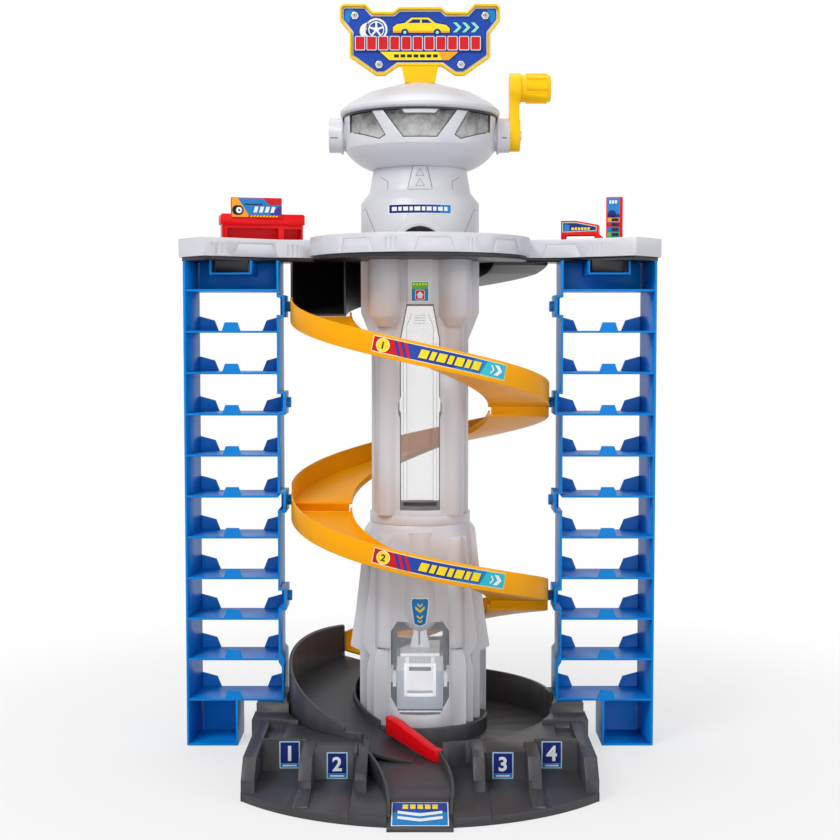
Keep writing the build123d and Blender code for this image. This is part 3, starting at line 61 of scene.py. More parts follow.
def plastic(name, colour, roughness=0.34, grain=0.05, cloud=0.04, coat=0.0, gloss=0.5, painted_glow=0.0):
    """Moulded plastic: faint flow clouds in the colour and a fine grain on the surface. The glow setting is
    painted light: the colour shines by itself, though the part is no lamp.
    """
    material = bpy.data.materials.new(name)
    material.use_nodes = True
    tree = material.node_tree
    shader = tree.nodes["Principled BSDF"]
    shader.inputs["Roughness"].default_value = roughness
    shader.inputs["Coat Weight"].default_value = coat
    shader.inputs["Coat Roughness"].default_value = 0.12
    shader.inputs["Specular IOR Level"].default_value = gloss
    # painted light: the surface gives off its own colour, as much as the glow setting asks
    shader.inputs["Emission Color"].default_value = colour
    shader.inputs["Emission Strength"].default_value = painted_glow
    coords = tree.nodes.new("ShaderNodeTexCoord")
    clouds = tree.nodes.new("ShaderNodeTexNoise")
    clouds.inputs["Scale"].default_value = 14
    clouds.inputs["Detail"].default_value = 3
    tint = tree.nodes.new("ShaderNodeValToRGB")
    dark = [channel * (1 - cloud) for channel in colour[:3]] + [1]
    light = [min(1, channel * (1 + cloud)) for channel in colour[:3]] + [1]
    tint.color_ramp.elements[0].position = 0.35
    tint.color_ramp.elements[1].position = 0.65
    tint.color_ramp.elements[0].color = dark
    tint.color_ramp.elements[1].color = light
    fine = tree.nodes.new("ShaderNodeTexNoise")
    fine.inputs["Scale"].default_value = 900
    fine.inputs["Detail"].default_value = 2
    bump = tree.nodes.new("ShaderNodeBump")
    bump.inputs["Strength"].default_value = grain
    bump.inputs["Distance"].default_value = 0.2 * MM
    tree.links.new(coords.outputs["Object"], clouds.inputs["Vector"])
    tree.links.new(coords.outputs["Object"], fine.inputs["Vector"])
    tree.links.new(clouds.outputs["Fac"], tint.inputs["Fac"])
    tree.links.new(tint.outputs["Color"], shader.inputs["Base Color"])
    tree.links.new(fine.outputs["Fac"], bump.inputs["Height"])
    tree.links.new(bump.outputs["Normal"], shader.inputs["Normal"])
    return material


def clear(name, tint, roughness=0.04, strength=0.85):
    """Thin clear plastic; strength is the share of light that goes straight through."""
    material = bpy.data.materials.new(name)
    material.use_nodes = True
    tree = material.node_tree
    shader = tree.nodes["Principled BSDF"]
    shader.inputs["Base Color"].default_value = tint
    shader.inputs["Roughness"].default_value = roughness
    shader.inputs["Alpha"].default_value = 1 - strength
    shader.inputs["Specular IOR Level"].default_value = 0.8
    coords = tree.nodes.new("ShaderNodeTexCoord")
    waves = tree.nodes.new("ShaderNodeTexNoise")
    waves.inputs["Scale"].default_value = 30
    bump = tree.nodes.new("ShaderNodeBump")
    bump.inputs["Strength"].default_value = 0.08
    bump.inputs["Distance"].default_value = 0.4 * MM
    tree.links.new(coords.outputs["Object"], waves.inputs["Vector"])
    tree.links.new(waves.outputs["Fac"], bump.inputs["Height"])
    tree.links.new(bump.outputs["Normal"], shader.inputs["Normal"])
    return material


def metal(name, colour, roughness):
    """Plain bright metal with faint turning marks."""
    material = bpy.data.materials.new(name)
    material.use_nodes = True
    tree = material.node_tree
    shader = tree.nodes["Principled BSDF"]
    shader.inputs["Base Color"].default_value = colour
    shader.inputs["Metallic"].default_value = 1
    coords = tree.nodes.new("ShaderNodeTexCoord")
    marks = tree.nodes.new("ShaderNodeTexNoise")
    marks.inputs["Scale"].default_value = 600
    spread = tree.nodes.new("ShaderNodeMapRange")
    spread.inputs["To Min"].default_value = roughness * 0.7
    spread.inputs["To Max"].default_value = roughness * 1.3
    tree.links.new(coords.outputs["Object"], marks.inputs["Vector"])
    tree.links.new(marks.outputs["Fac"], spread.inputs["Value"])
    tree.links.new(spread.outputs["Result"], shader.inputs["Roughness"])
    return material


GREY = plastic("grey plastic", srgb(210, 211, 216), roughness=0.36)
DARK = plastic("dark plastic", srgb(56, 56, 60), roughness=0.42, grain=0.12, cloud=0.08, gloss=0.4)
BLACK = plastic("black plastic", srgb(26, 23, 26), roughness=0.4)
BLUE = plastic("blue plastic", srgb(0, 128, 212), roughness=0.36, gloss=0.15)
ORANGE = plastic("orange plastic", srgb(255, 170, 0), roughness=0.36, gloss=0.15)
RED = plastic("red plastic", srgb(238, 6, 18), roughness=0.34, gloss=0.2)
YELLOW = plastic("yellow plastic", srgb(255, 200, 14), roughness=0.34, gloss=0.15)
WHITE = plastic("white plastic", srgb(240, 240, 242), roughness=0.32)
# painted light: this white glows a little, to brighten door parts that lie in the tower's shade
WHITE_PAINTED_GLOW = plastic("white plastic with painted glow", srgb(244, 244, 246), roughness=0.4, painted_glow=0.35)
CLEAR = clear("clear plastic", srgb(240, 244, 250), strength=0.9)
TINTED = clear("tinted cabin", srgb(168, 178, 190), strength=0.55)
DOOR_GLASS = clear("door glass", srgb(214, 222, 232), strength=0.84)
STEEL = metal("steel", srgb(190, 190, 192), 0.3)
SILVER = plastic("silver card", srgb(206, 210, 216), roughness=0.3, coat=0.3)


def window_print():
    """Smoky pane: dark at its top, mottled pale grey lower down."""
    material = plastic("smoky window", srgb(90, 90, 92), roughness=0.16, grain=0.02, coat=0.4)
    tree = material.node_tree
    coords = next(node for node in tree.nodes if node.type == "TEX_COORD")
    parts = tree.nodes.new("ShaderNodeSeparateXYZ")
    rise = tree.nodes.new("ShaderNodeMapRange")
    rise.inputs["From Min"].default_value = 0.566
    rise.inputs["From Max"].default_value = 0.5925
    rise.inputs["To Min"].default_value = 0.75
    rise.inputs["To Max"].default_value = 0.0
    patches = tree.nodes.new("ShaderNodeTexNoise")
    patches.inputs["Scale"].default_value = 75
    patches.inputs["Detail"].default_value = 5
    patches.inputs["Roughness"].default_value = 0.7
    total = tree.nodes.new("ShaderNodeMath")
    total.operation = "MULTIPLY_ADD"
    total.inputs[1].default_value = 0.9
    offset = tree.nodes.new("ShaderNodeMath")
    offset.operation = "SUBTRACT"
    offset.inputs[1].default_value = 0.42
    ramp = tree.nodes.new("ShaderNodeValToRGB")
    ramp.color_ramp.elements[0].position = 0.15
    ramp.color_ramp.elements[0].color = srgb(34, 34, 36)
    ramp.color_ramp.elements[1].position = 0.85
    ramp.color_ramp.elements[1].color = srgb(196, 196, 196)
    tree.links.new(coords.outputs["Object"], parts.inputs[0])
    tree.links.new(parts.outputs["Z"], rise.inputs["Value"])
    tree.links.new(coords.outputs["Object"], patches.inputs["Vector"])
    tree.links.new(patches.outputs["Fac"], total.inputs[0])
    tree.links.new(rise.outputs["Result"], total.inputs[2])
    tree.links.new(total.outputs[0], offset.inputs[0])
    tree.links.new(offset.outputs[0], ramp.inputs["Fac"])
    tree.links.new(ramp.outputs["Color"], tree.nodes["Principled BSDF"].inputs["Base Color"])
    return material


SMOKED = window_print()

finish_of_slot = {
    "grey_plastic": GREY,
    "dark_plastic": DARK,
    "orange_plastic": ORANGE,
    "blue_plastic": BLUE,
    "red_plastic": RED,
    "yellow_plastic": YELLOW,
    "clear_plastic": CLEAR,
    "window_plastic": SMOKED,
    "sign_plastic": SILVER,
    "frame_plastic": GREY,
    "steel": STEEL,
    "white_plastic": WHITE,
    "line_plastic": CLEAR,
}
finish_of_node = {
    "deck_underside": BLACK,
    "upper_ramp": BLACK,
    "crank_knob": YELLOW,
    "shop_board": RED,
    "price_board": RED,
    "lift_cabin": TINTED,
    "lift_floor": TINTED,
    "lift_door_window": DOOR_GLASS,
    # painted light: the door and lift frames take the glowing white
    "door_frame": WHITE_PAINTED_GLOW,
    "lift_frame": WHITE_PAINTED_GLOW,
}


def soften(piece, width=0.5 * MM, segments=2):
    """Smooth shading with rounded edges."""
    for polygon in piece.data.polygons:
        polygon.use_smooth = True
    weld = piece.modifiers.new("weld", "WELD")
    weld.merge_threshold = 0.01 * MM
    bevel = piece.modifiers.new("edges", "BEVEL")
    bevel.width = width
    bevel.segments = segments
    bevel.limit_method = "ANGLE"
    bevel.angle_limit = math.radians(38)
    bevel.harden_normals = True
    bevel.use_clamp_overlap = True


slot_of_node = {part["node"]: part["material_slot"] for part in frame["record"]["subparts"]}
for name, node in nodes.items():
    finish = finish_of_node.get(name, finish_of_slot[slot_of_node[name]])
    node.data.materials.clear()
    node.data.materials.append(finish)
    soften(node)


# ---------------------------------------------------------------- stickers
def ink(name, red, green, blue):
    """Printed film: glossy, with the faint clouds of ink."""
    return plastic(name, srgb(red, green, blue), roughness=0.36, grain=0.02, cloud=0.05, gloss=0.25)


INK_WHITE = ink("white ink", 240, 242, 244)
INK_CREAM = ink("cream ink", 250, 240, 196)
INK_NAVY = ink("navy ink", 12, 34, 116)
INK_BLUE = ink("blue ink", 14, 66, 168)
INK_SKY = ink("sky ink", 14, 128, 200)
INK_CYAN = ink("cyan ink", 44, 190, 206)
INK_MINT = ink("mint ink", 140, 222, 200)
INK_YELLOW = ink("yellow ink", 252, 220, 30)
INK_AMBER = ink("amber ink", 250, 160, 30)
INK_RED = ink("red ink", 206, 10, 24)
INK_VIOLET = ink("violet ink", 62, 46, 150)
INK_ICE = ink("ice ink", 178, 214, 236)
INK_BLACK = ink("black ink", 18, 18, 22)
INK_GREEN = ink("green ink", 90, 190, 60)
LAYER = 0.09  # thickness of one printed layer, in millimetres


def onto(node_name, along=(0, 1, 0)):
    """Lay flat (u, v) points on a node, seen from the front or from above."""
    tree = BVHTree.FromPolygons(
        [vertex.co.copy() for vertex in nodes[node_name].data.vertices],
        [tuple(polygon.vertices) for polygon in nodes[node_name].data.polygons],
    )
    direction = Vector(along)

    def lay(u, v, height):
        start = Vector((u + 0.003, -600, v)) if along[1] else Vector((u + 0.003, v, 300))
        hit = tree.ray_cast(start * MM, direction)[0]
        assert hit is not None, (node_name, u, v)
        return hit - direction * height * MM

    return lay


def upright(corner, turn_deg, base_z):
    """Lay (u, v) points on an upright face that starts at a corner and is turned about Z."""
    turn = math.radians(turn_deg)
    across = Vector((math.cos(turn), math.sin(turn), 0))
    out = Vector((math.sin(turn), -math.cos(turn), 0))

    def lay(u, v, height):
        place = Vector((*corner, base_z)) + across * u + Vector((0, 0, v)) + out * height
        return place * MM

    return lay


def slab(shapes, lay, low, high, step):
    """A thin closed sheet with the given outlines, bent on to its surface."""
    part = bmesh.new()
    for shape in shapes:
        part.faces.new([part.verts.new((u, v, 0)) for u, v in shape])
    bmesh.ops.remove_doubles(part, verts=part.verts, dist=0.001)
    bmesh.ops.triangulate(part, faces=part.faces)
    if step:
        for axis in (0, 1):
            values = [vertex.co[axis] for vertex in part.verts]
            normal = Vector((1, 0, 0)) if axis == 0 else Vector((0, 1, 0))
            for cut in range(math.ceil(min(values) / step), math.floor(max(values) / step) + 1):
                geometry = part.verts[:] + part.edges[:] + part.faces[:]
                bmesh.ops.bisect_plane(part, geom=geometry, plane_co=normal * cut * step, plane_no=normal)
    grown = bmesh.ops.extrude_face_region(part, geom=part.faces[:])["geom"]
    raised = {item for item in grown if isinstance(item, bmesh.types.BMVert)}
    for vertex in part.verts:
        vertex.co = lay(vertex.co.x, vertex.co.y, high if vertex in raised else low)
    bmesh.ops.recalc_face_normals(part, faces=part.faces)
    return part


def sticker(name, lay, layers, step=0, body="garage"):
    """Printed film: each layer is an ink and its outlines, one on top of the other."""
    whole = bmesh.new()
    mesh = bpy.data.meshes.new(name)
    for index, (finish, shapes) in enumerate(layers):
        low = 0.02 + LAYER * index
        part = slab(shapes, lay, low, low + LAYER * 1.1, step)
        for face in part.faces:
            face.material_index = index
        part.to_mesh(mesh)
        part.free()
        whole.from_mesh(mesh)
    whole.to_mesh(mesh)
    whole.free()
    for finish, shapes in layers:
        mesh.materials.append(finish)
    piece = bpy.data.objects.new(name, mesh)
    bpy.context.scene.collection.objects.link(piece)
    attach(piece, body)
    return piece


def box(low_u, low_v, high_u, high_v, lean=0):
    """A rectangle, leaning to the right at its top."""
    return [(low_u, low_v), (high_u, low_v), (high_u + lean, high_v), (low_u + lean, high_v)]


def rounded(low_u, low_v, high_u, high_v, radius):
    """A rectangle with rounded corners."""
    corners = (
        (high_u - radius, low_v + radius, -90),
        (high_u - radius, high_v - radius, 0),
        (low_u + radius, high_v - radius, 90),
        (low_u + radius, low_v + radius, 180),
    )
    points = []
    for centre_u, centre_v, start in corners:
        for part in range(4):
            angle = math.radians(start + 30 * part)
            points.append((centre_u + radius * math.cos(angle), centre_v + radius * math.sin(angle)))
    return points


def disc(u, v, radius, count=28):
    """A circle as a fine polygon."""
    turns = (2 * math.pi * part / count for part in range(count))
    return [(u + radius * math.cos(turn), v + radius * math.sin(turn)) for turn in turns]


def arrow_right(u, v, width, height, thick):
    """A chevron that points right."""
    half = height / 2
    return [
        (u, v + half),
        (u + thick, v + half),
        (u + width, v),
        (u + thick, v - half),
        (u, v - half),
        (u + width - thick, v),
    ]


def arrow_down(u, v, width, drop, thick):
    """A chevron that points down."""
    half = width / 2
    return [
        (u - half, v),
        (u - half, v - thick),
        (u, v - thick - drop),
        (u + half, v - thick),
        (u + half, v),
        (u, v - drop),
    ]


def turned_band(shapes, degrees, centre):
    """Turn outlines about a point."""
    turn = math.radians(degrees)
    cosine, sine = math.cos(turn), math.sin(turn)
    middle_u, middle_v = centre
    return [
        [(middle_u + u * cosine - v * sine, middle_v + u * sine + v * cosine) for u, v in shape]
        for shape in shapes
    ]


def digit(word, u, v, height):
    """Outlines of a plain number."""
    curve = bpy.data.curves.new("number", "FONT")
    curve.body = word
    curve.align_x = "CENTER"
    curve.offset = 0.03
    holder = bpy.data.objects.new("number", curve)
    bpy.context.scene.collection.objects.link(holder)
    bpy.context.view_layer.update()
    shape = holder.to_mesh()
    scale = height / 0.7
    points = [(u + vertex.co.x * scale, v + vertex.co.y * scale) for vertex in shape.vertices]
    outlines = [[points[index] for index in polygon.vertices] for polygon in shape.polygons]
    holder.to_mesh_clear()
    bpy.data.objects.remove(holder)
    bpy.data.curves.remove(curve)
    return outlines


def inset(outline, distance):
    """Move every side of a closed outline inwards by a distance."""
    count = len(outline)
    area = sum(
        outline[i - 1][0] * outline[i][1] - outline[i][0] * outline[i - 1][1] for i in range(count)
    )
    way = 1 if area > 0 else -1
    result = []
    for i in range(count):
        before = Vector(outline[i - 1])
        here = Vector(outline[i])
        after = Vector(outline[(i + 1) % count])
        first = (here - before).normalized()
        second = (after - here).normalized()
        normal = Vector((-first.y - second.y, first.x + second.x)) * way
        normal.normalize()
        turn = first.dot(second)
        reach = distance / math.sqrt(max((1 + turn) / 2, 0.05))
        result.append(tuple(here + normal * reach))
    return result


# the main sign
SIGN_HALF = [
    (0, 690.2), (19.6, 690.2), (24.8, 686), (43.6, 686), (50.1, 693.1), (70.9, 693.1), (74, 690.3),
    (74.1, 678.7), (65, 667.2), (65.1, 645.4), (41, 628.6), (32.5, 628.6), (20.1, 637), (0, 637),
]
SIGN_OUTLINE = SIGN_HALF[:-1] + [(-x, z) for x, z in reversed(SIGN_HALF[1:-1])]


def sign_art():
    """Blue sign with a wheel, a car, chevrons, red blocks and a banner."""
    card = inset(SIGN_OUTLINE, 3.5)
    glow_left = [(-69, 688), (-62, 689), (-66, 676), (-70, 680)]
    glow_right = [(-x, z) for x, z in reversed(glow_left)]
    wheel_u, wheel_v = -40.5, 670.5
    spokes = []
    for part in range(5):
        angle = math.radians(90 + 72 * part)
        side = Vector((-math.sin(angle), math.cos(angle))) * 0.9
        reach = Vector((math.cos(angle), math.sin(angle)))
        centre = Vector((wheel_u, wheel_v))
        near, far = centre + reach * 2.2, centre + reach * 6.6
        spokes.append([tuple(near - side), tuple(far - side), tuple(far + side), tuple(near + side)])
    car = [
        (-25, 667.5), (-25, 672.5), (-21.5, 675.2), (-14, 676.4), (-8, 681.2), (8, 681.2), (14.5, 676.2),
        (24, 674.6), (27.5, 671.5), (27.5, 667.5),
    ]
    glass = [(-11, 676.4), (-6.6, 679.6), (0, 679.6), (0, 676.4)]
    glass_front = [(1.6, 676.4), (1.6, 679.6), (7, 679.6), (11, 676.4)]
    block_pitch, block_count = 10.7, 11

    def row(left, low, width, high, radius):
        """Rounded blocks side by side."""
        starts = [left + block_pitch * part for part in range(block_count)]
        return [rounded(start, low, start + width, high, radius) for start in starts]

    blocks = row(-60.3, 651.2, 9.6, 664.4, 1.2)
    block_cores = row(-59.5, 652, 8, 663.6, 0.8)
    shade = row(-59.8, 650.2, 10.3, 664, 1.2)
    banner = [(-37, 650), (-28.4, 642.4), (26.6, 642.4), (35.7, 650)]
    banner_edge = [(-38.6, 650.6), (-29, 641.6), (27.2, 641.6), (37.3, 650.6)]
    banner_end = [(17, 650), (20, 642.4), (26.6, 642.4), (35.7, 650)]
    dashes = [box(-24 + 6 * part, 644.8, -24 + 6 * part + 4.4, 647.6) for part in range(7)]
    arrows = [arrow_right(30.6 + 8.2 * part, 672.3, 7.8, 9, 3.4) for part in range(3)]
    return [
        (INK_BLUE, [card]),
        (INK_SKY, [glow_left, glow_right]),
        (INK_WHITE, [disc(wheel_u - 7.5, wheel_v - 1.5, 7.8), disc(wheel_u, wheel_v, 10.4)]),
        (INK_BLUE, [disc(wheel_u, wheel_v, 8.6)]),
        (INK_WHITE, [disc(wheel_u, wheel_v, 7.4)]),
        (INK_BLUE, [disc(wheel_u, wheel_v, 6.5)]),
        (INK_WHITE, spokes + [disc(wheel_u, wheel_v, 2.4)]),
        (INK_NAVY, [inset(car, -0.9)]),
        (INK_YELLOW, [car]),
        (INK_AMBER, [box(-25, 667.5, 27.5, 669.3)]),
        (INK_NAVY, [glass, glass_front, disc(-14, 667.8, 3.4), disc(16, 667.8, 3.4)]),
        (INK_MINT, arrows + [disc(-14, 667.8, 1.5), disc(16, 667.8, 1.5)]),
        (INK_NAVY, [box(-60, 649.9, 58, 651.6)] + [banner_edge]),
        (INK_YELLOW, [banner]),
        (INK_AMBER, [banner_end]),
        (INK_BLACK, dashes),
        (INK_NAVY, shade),
        (SILVER, blocks),
        (INK_RED, block_cores),
    ]


def bolt_holes():
    """Silver and dark rings on the sign's bolts."""
    places = ((-60.3, 683), (60.3, 683), (-38, 638.2), (38, 638.2))
    rings = ((SILVER, 2.5), (INK_BLACK, 1.9), (SILVER, 1.5), (INK_BLACK, 0.7))
    return [(finish, [disc(x, z, radius) for x, z in places]) for finish, radius in rings]


sticker("sign_art", onto("sign_panel"), sign_art())
sticker("bolt_sockets", onto("sign_bolts"), bolt_holes())


# bands on the spiral track
TRACK_R = 122.5  # outside of the spiral's wall
BAND_TILT = -12.3  # degrees, along the track's slope
TRACK_SLOPE = 0.2183  # fall for each millimetre along the wall
TRACK_TOP_Z = 403.7  # underside of the track at its start
TRACK_STEP = 93  # from one segment's start to the next one's start
TRACK_DROP = 84  # fall of one half-turn segment
BAND_U = 19.5  # the band's middle, to the right of the tower's front
BAND_V = 10.9  # and above the track's underside there, before the slope


def band_art(centre, number):
    """Red end with a numbered disc, slashes, yellow bars and a cyan end with arrows."""
    half = 7.1
    inner = half - 0.7
    left, right = -63.2, 63.2
    red = box(left + 0.7, -inner, -36, inner)
    blue = [(-43, inner), (right - 20, inner), (right - 20, -inner), (-36, -inner)]
    teal = [(right - 32, inner), (right - 0.7, inner), (right - 0.7, -inner), (right - 52, -inner)]
    cyan = [(right - 21, inner), (right - 0.7, inner), (right - 0.7, -inner), (right - 27, -inner)]
    slash_pitch, slash_lean = 5.9, 6

    def slash_pair(left, width):
        """Two slashes that lean to the left at their tops."""
        pair = []
        for part in range(2):
            start = left + slash_pitch * part
            foot = start + slash_lean
            pair.append([(start, inner), (start + width, inner), (foot + width, -inner), (foot, -inner)])
        return pair

    slashes = slash_pair(-44.5, 3.1)
    red_slashes = slash_pair(-41.4, 2.8)
    widths = (7.5, 4.5, 7.5, 4.5, 7.5, 4.5, 7.5)
    bars = []
    for part, width in enumerate(widths):
        start = -21 + sum(widths[:part]) + 2 * part
        bars.append(box(start, -3.8, start + width, 3.8, lean=1.6))
    shades = [[(u + 0.6, v - 0.7) for u, v in bar] for bar in bars]
    arrows = [
        arrow_right(right - 17.5, 0, 4.2, 7, 1.6),
        arrow_right(right - 13.5, 0, 9, 9, 4.6),
    ]

    def place(shapes):
        return turned_band(shapes, BAND_TILT, centre)

    disc_u = left + 10
    return [
        (INK_CREAM, place([box(left, -half, right, half)])),
        (INK_RED, place([red])),
        (INK_BLUE, place([blue])),
        (INK_SKY, place([teal])),
        (INK_CYAN, place([cyan])),
        (INK_VIOLET, place(slashes)),
        (INK_RED, place(red_slashes)),
        (INK_CREAM, place([disc(disc_u, 0, 6.2)])),
        (INK_YELLOW, place([disc(disc_u, 0, 5.4)])),
        (INK_BLACK, turned_band(digit(number, disc_u, -2.9, 5.8), BAND_TILT, centre)),
        (INK_NAVY, place(shades)),
        (INK_YELLOW, place(bars)),
        (INK_WHITE, place(arrows)),
    ]


def round_track(radius, start_z):
    """Lay (arc length, height) points on the outside of the spiral, from its front."""
    def lay(u, v, height):
        angle = u / radius
        reach = radius + height
        return Vector((reach * math.sin(angle), -reach * math.cos(angle), start_z + v)) * MM

    return lay


for segment, number in ((1, "1"), (3, "2")):
    # the wall's foot at the front, half way along the segment
    foot_z = TRACK_TOP_Z - TRACK_STEP * (segment - 1) - TRACK_DROP / 2
    centre = (BAND_U, BAND_V - BAND_U * TRACK_SLOPE)
    band = band_art(centre, number)
    sticker(f"track_band_{segment}", round_track(TRACK_R, foot_z), band, step=4)


# boards in the parking slots
def slot_art(u, low, high, number):
    """Blue board with a white number over a pale strip."""
    half = 9
    return [
        (INK_ICE, [rounded(u - half, low, u + half, high, 0.8)]),
        (INK_NAVY, [box(u - half + 1, low + 4.6, u + half - 1, high - 1)]),
        (INK_SKY, [box(u - half + 1, low + 1, u + half - 1, low + 4.4)]),
        (INK_WHITE, digit(number, u, low + 7.2, high - low - 11.5) + [box(u - 6, low + 2, u + 6, low + 3.2)]),
    ]


OUTER_SLOT_Y, INNER_SLOT_Y = -129, -154
SLOT_BOARDS = (
    (-114.2, OUTER_SLOT_Y, 9.2, 33.4, "1"),
    (-71.2, INNER_SLOT_Y, 7.6, 30.8, "2"),
    (71.2, INNER_SLOT_Y, 7.6, 30.8, "3"),
    (115.4, OUTER_SLOT_Y, 9.2, 33.4, "4"),
)
for u, depth, low, high, number in SLOT_BOARDS:
    lay = upright((0, depth), 0, 0)
    sticker(f"slot_board_{number}", lay, slot_art(u, low, high, number))


# plate at the exit
def exit_art():
    """Blue board with two wide chevrons, seen from above."""
    plate = box(-22.9, -264.6, 22.9, -222)
    return [
        (INK_WHITE, [plate]),
        (INK_SKY, [box(-22, -263.6, 22, -223)]),
        (INK_BLUE, [box(-22, -240, 22, -223)]),
        (INK_YELLOW, [box(-14 + 6 * part, -234.5, -9.6 + 6 * part, -226.5) for part in range(5)]),
        (INK_WHITE, [arrow_down(0, -238, 36, 5, 5), arrow_down(0, -247.5, 36, 5, 5)]),
    ]


sticker("exit_board", onto("exit_ramp", (0, 0, -1)), exit_art())


# drum, shaft and nose labels
def drum_art():
    """Blue strip with pale bars."""
    bars = []
    start = -25.5
    for width in (4.4, 3, 4.4, 3, 5.4, 3, 4.4, 3, 4.4, 3):
        bars.append(box(start, 501, start + width, 504.6))
        start += width + 1.4
    return [
        (INK_WHITE, [box(-28.8, 498.2, 28.8, 507.2)]),
        (INK_NAVY, [box(-28, 499, 4, 506.5)]),
        (INK_BLUE, [box(4, 499, 18, 506.5)]),
        (INK_SKY, [box(18, 499, 28, 506.5)]),
        (INK_WHITE, bars),
    ]


def shaft_art():
    """Small label with a red square and an upward arrow."""
    arrow = [(-2.2, 421.8), (2.2, 421.8), (2.2, 424.6), (3.4, 424.6), (0, 428.2)]
    arrow += [(-3.4, 424.6), (-2.2, 424.6)]
    return [
        (INK_WHITE, [rounded(-8.4, 418.6, 8.4, 437.4, 0.8)]),
        (INK_SKY, [box(-7.6, 419.4, 7.6, 436.6)]),
        (INK_GREEN, [box(-7.6, 430.4, 7.6, 436.6)]),
        (INK_YELLOW, [box(-6.4 + 2.7 * part, 433.6, -4.6 + 2.7 * part, 435.6) for part in range(5)]),
        (INK_WHITE, [rounded(-4.4, 420, 4.4, 429.6, 1.6)]),
        (INK_RED, [rounded(-3.9, 420.5, 3.9, 429.1, 1.4)]),
        (INK_WHITE, [arrow]),
    ]


def nose_art():
    """Shield with four chevrons that point down."""
    edge = [(8.4, 144.2), (8.4, 139), (5.8, 121.6)]
    shield = [(-7, 146.4), (7, 146.4)] + edge + [(0, 118.8)] + [(-u, v) for u, v in reversed(edge)]
    chevrons = [
        arrow_down(0, 141.6, 4.8, 2.2, 1.6),
        arrow_down(0, 138.8, 8.4, 3.6, 2.6),
        arrow_down(0, 130.6, 5.6, 2.4, 1.7),
        arrow_down(0, 126.2, 4.6, 2, 1.5),
    ]
    return [(INK_WHITE, [shield]), (INK_SKY, [inset(shield, 0.9)]), (INK_YELLOW, chevrons)]


sticker("drum_label", onto("drum_neck"), drum_art(), step=3)
sticker("shaft_label", onto("column_upper_front"), shaft_art())


# shop, canopy and price board
def shop_art():
    """Orange and blue board with a tyre, pale bars and a row of hazard stripes."""
    wide, high = 48.3, 19
    bars = [box(21 + 5.4 * part, 5, 24.4 + 5.4 * part, 10.6, lean=1.6) for part in range(4)]
    hazard = [box(18 + 3 * part, 0.8, 19.6 + 3 * part, 2.2, lean=0.9) for part in range(9)]
    return [
        (INK_SKY, [box(0.8, 0.7, wide - 0.6, high - 0.7)]),
        (INK_VIOLET, [[(wide - 14, 0.7), (wide - 0.6, 0.7), (wide - 0.6, 11), (wide - 3, 11)]]),
        (INK_AMBER, [[(0.8, 0.7), (18, 0.7), (6.6, high - 0.7), (0.8, high - 0.7)]]),
        (INK_RED, [[(31, high - 0.7), (wide - 0.6, high - 0.7), (wide - 0.6, 12.4), (36, 12.4)]]),
        (INK_RED, [box(16.5, 0.5, wide - 0.6, 2.6)]),
        (INK_BLACK, [disc(5.6, 7, 4.6), disc(7.4, 7, 4.6), box(12.5, 12.2, 30, 13.1)]),
        (INK_WHITE, [disc(7.6, 7, 2.9)] + bars),
        (INK_YELLOW, hazard),
        (INK_BLACK, [disc(7.6, 7, 1)]),
    ]


def canopy_art():
    """Blue label that follows the canopy's front."""
    label = [(1.2, 20.6), (1.2, 30), (14, 30), (33.6, 26), (33.6, 21.6)]
    return [
        (INK_MINT, [label]),
        (INK_NAVY, [inset(label, 0.8)]),
        (INK_SKY, [[(3, 22), (8, 22), (8, 27.4), (3, 28)]]),
        (INK_YELLOW, [box(10 + 3 * part, 22.6, 12.2 + 3 * part, 25) for part in range(6)]),
    ]


def price_art():
    """Blue board with a sun-like arc and four coloured rows."""
    low_u, high_u = 1.4, 12.6
    rows = []
    for row, finish in enumerate((INK_GREEN, INK_SKY, INK_RED, INK_AMBER)):
        rows.append((finish, [box(low_u, 16 + 4.6 * row, high_u, 19.9 + 4.6 * row)]))
    return [
        (INK_SKY, [box(low_u, 15.2, high_u, 52.2)]),
        (INK_NAVY, [box(low_u, 34, high_u, 37)] + [disc(5.4, 37, 3.9)]),
        *rows,
        (INK_BLACK, [box(5.2, 16.5 + 4.6 * row, high_u - 0.8, 19.4 + 4.6 * row) for row in range(4)]),
        (INK_WHITE, [box(3 + 2.6 * part, 47, 4.9 + 2.6 * part, 50) for part in range(3)]),
    ]


sticker("shop_art", upright((-178.339, -0.617), 13, 499), shop_art())
sticker("canopy_art", upright((134, 9), -10, 465), canopy_art())
sticker("price_art", upright((175.779, 0.618), -10, 465), price_art())


# ---------------------------------------------------------------- small parts
def plates(name, lay, finish, shapes, thick, step=0, body="garage"):
    """Thin plates of one finish, standing on a surface."""
    part = slab(shapes, lay, 0.01, thick, step)
    mesh = bpy.data.meshes.new(name)
    part.to_mesh(mesh)
    part.free()
    mesh.materials.append(finish)
    piece = bpy.data.objects.new(name, mesh)
    bpy.context.scene.collection.objects.link(piece)
    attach(piece, body)
    return piece


GROOVE = plastic("groove", srgb(120, 120, 124), roughness=0.5)
WINDOW_GREY = plastic("window line", srgb(168, 170, 174), roughness=0.5)


def line(points, width=0.5):
    """Outlines of a thin line through points."""
    shapes = []
    for first, second in zip(points, points[1:]):
        start, end = Vector(first), Vector(second)
        run = (end - start).normalized()
        side = Vector((-run.y, run.x)) * width / 2
        shapes.append([tuple(start - side), tuple(end - side), tuple(end + side), tuple(start + side)])
    return shapes


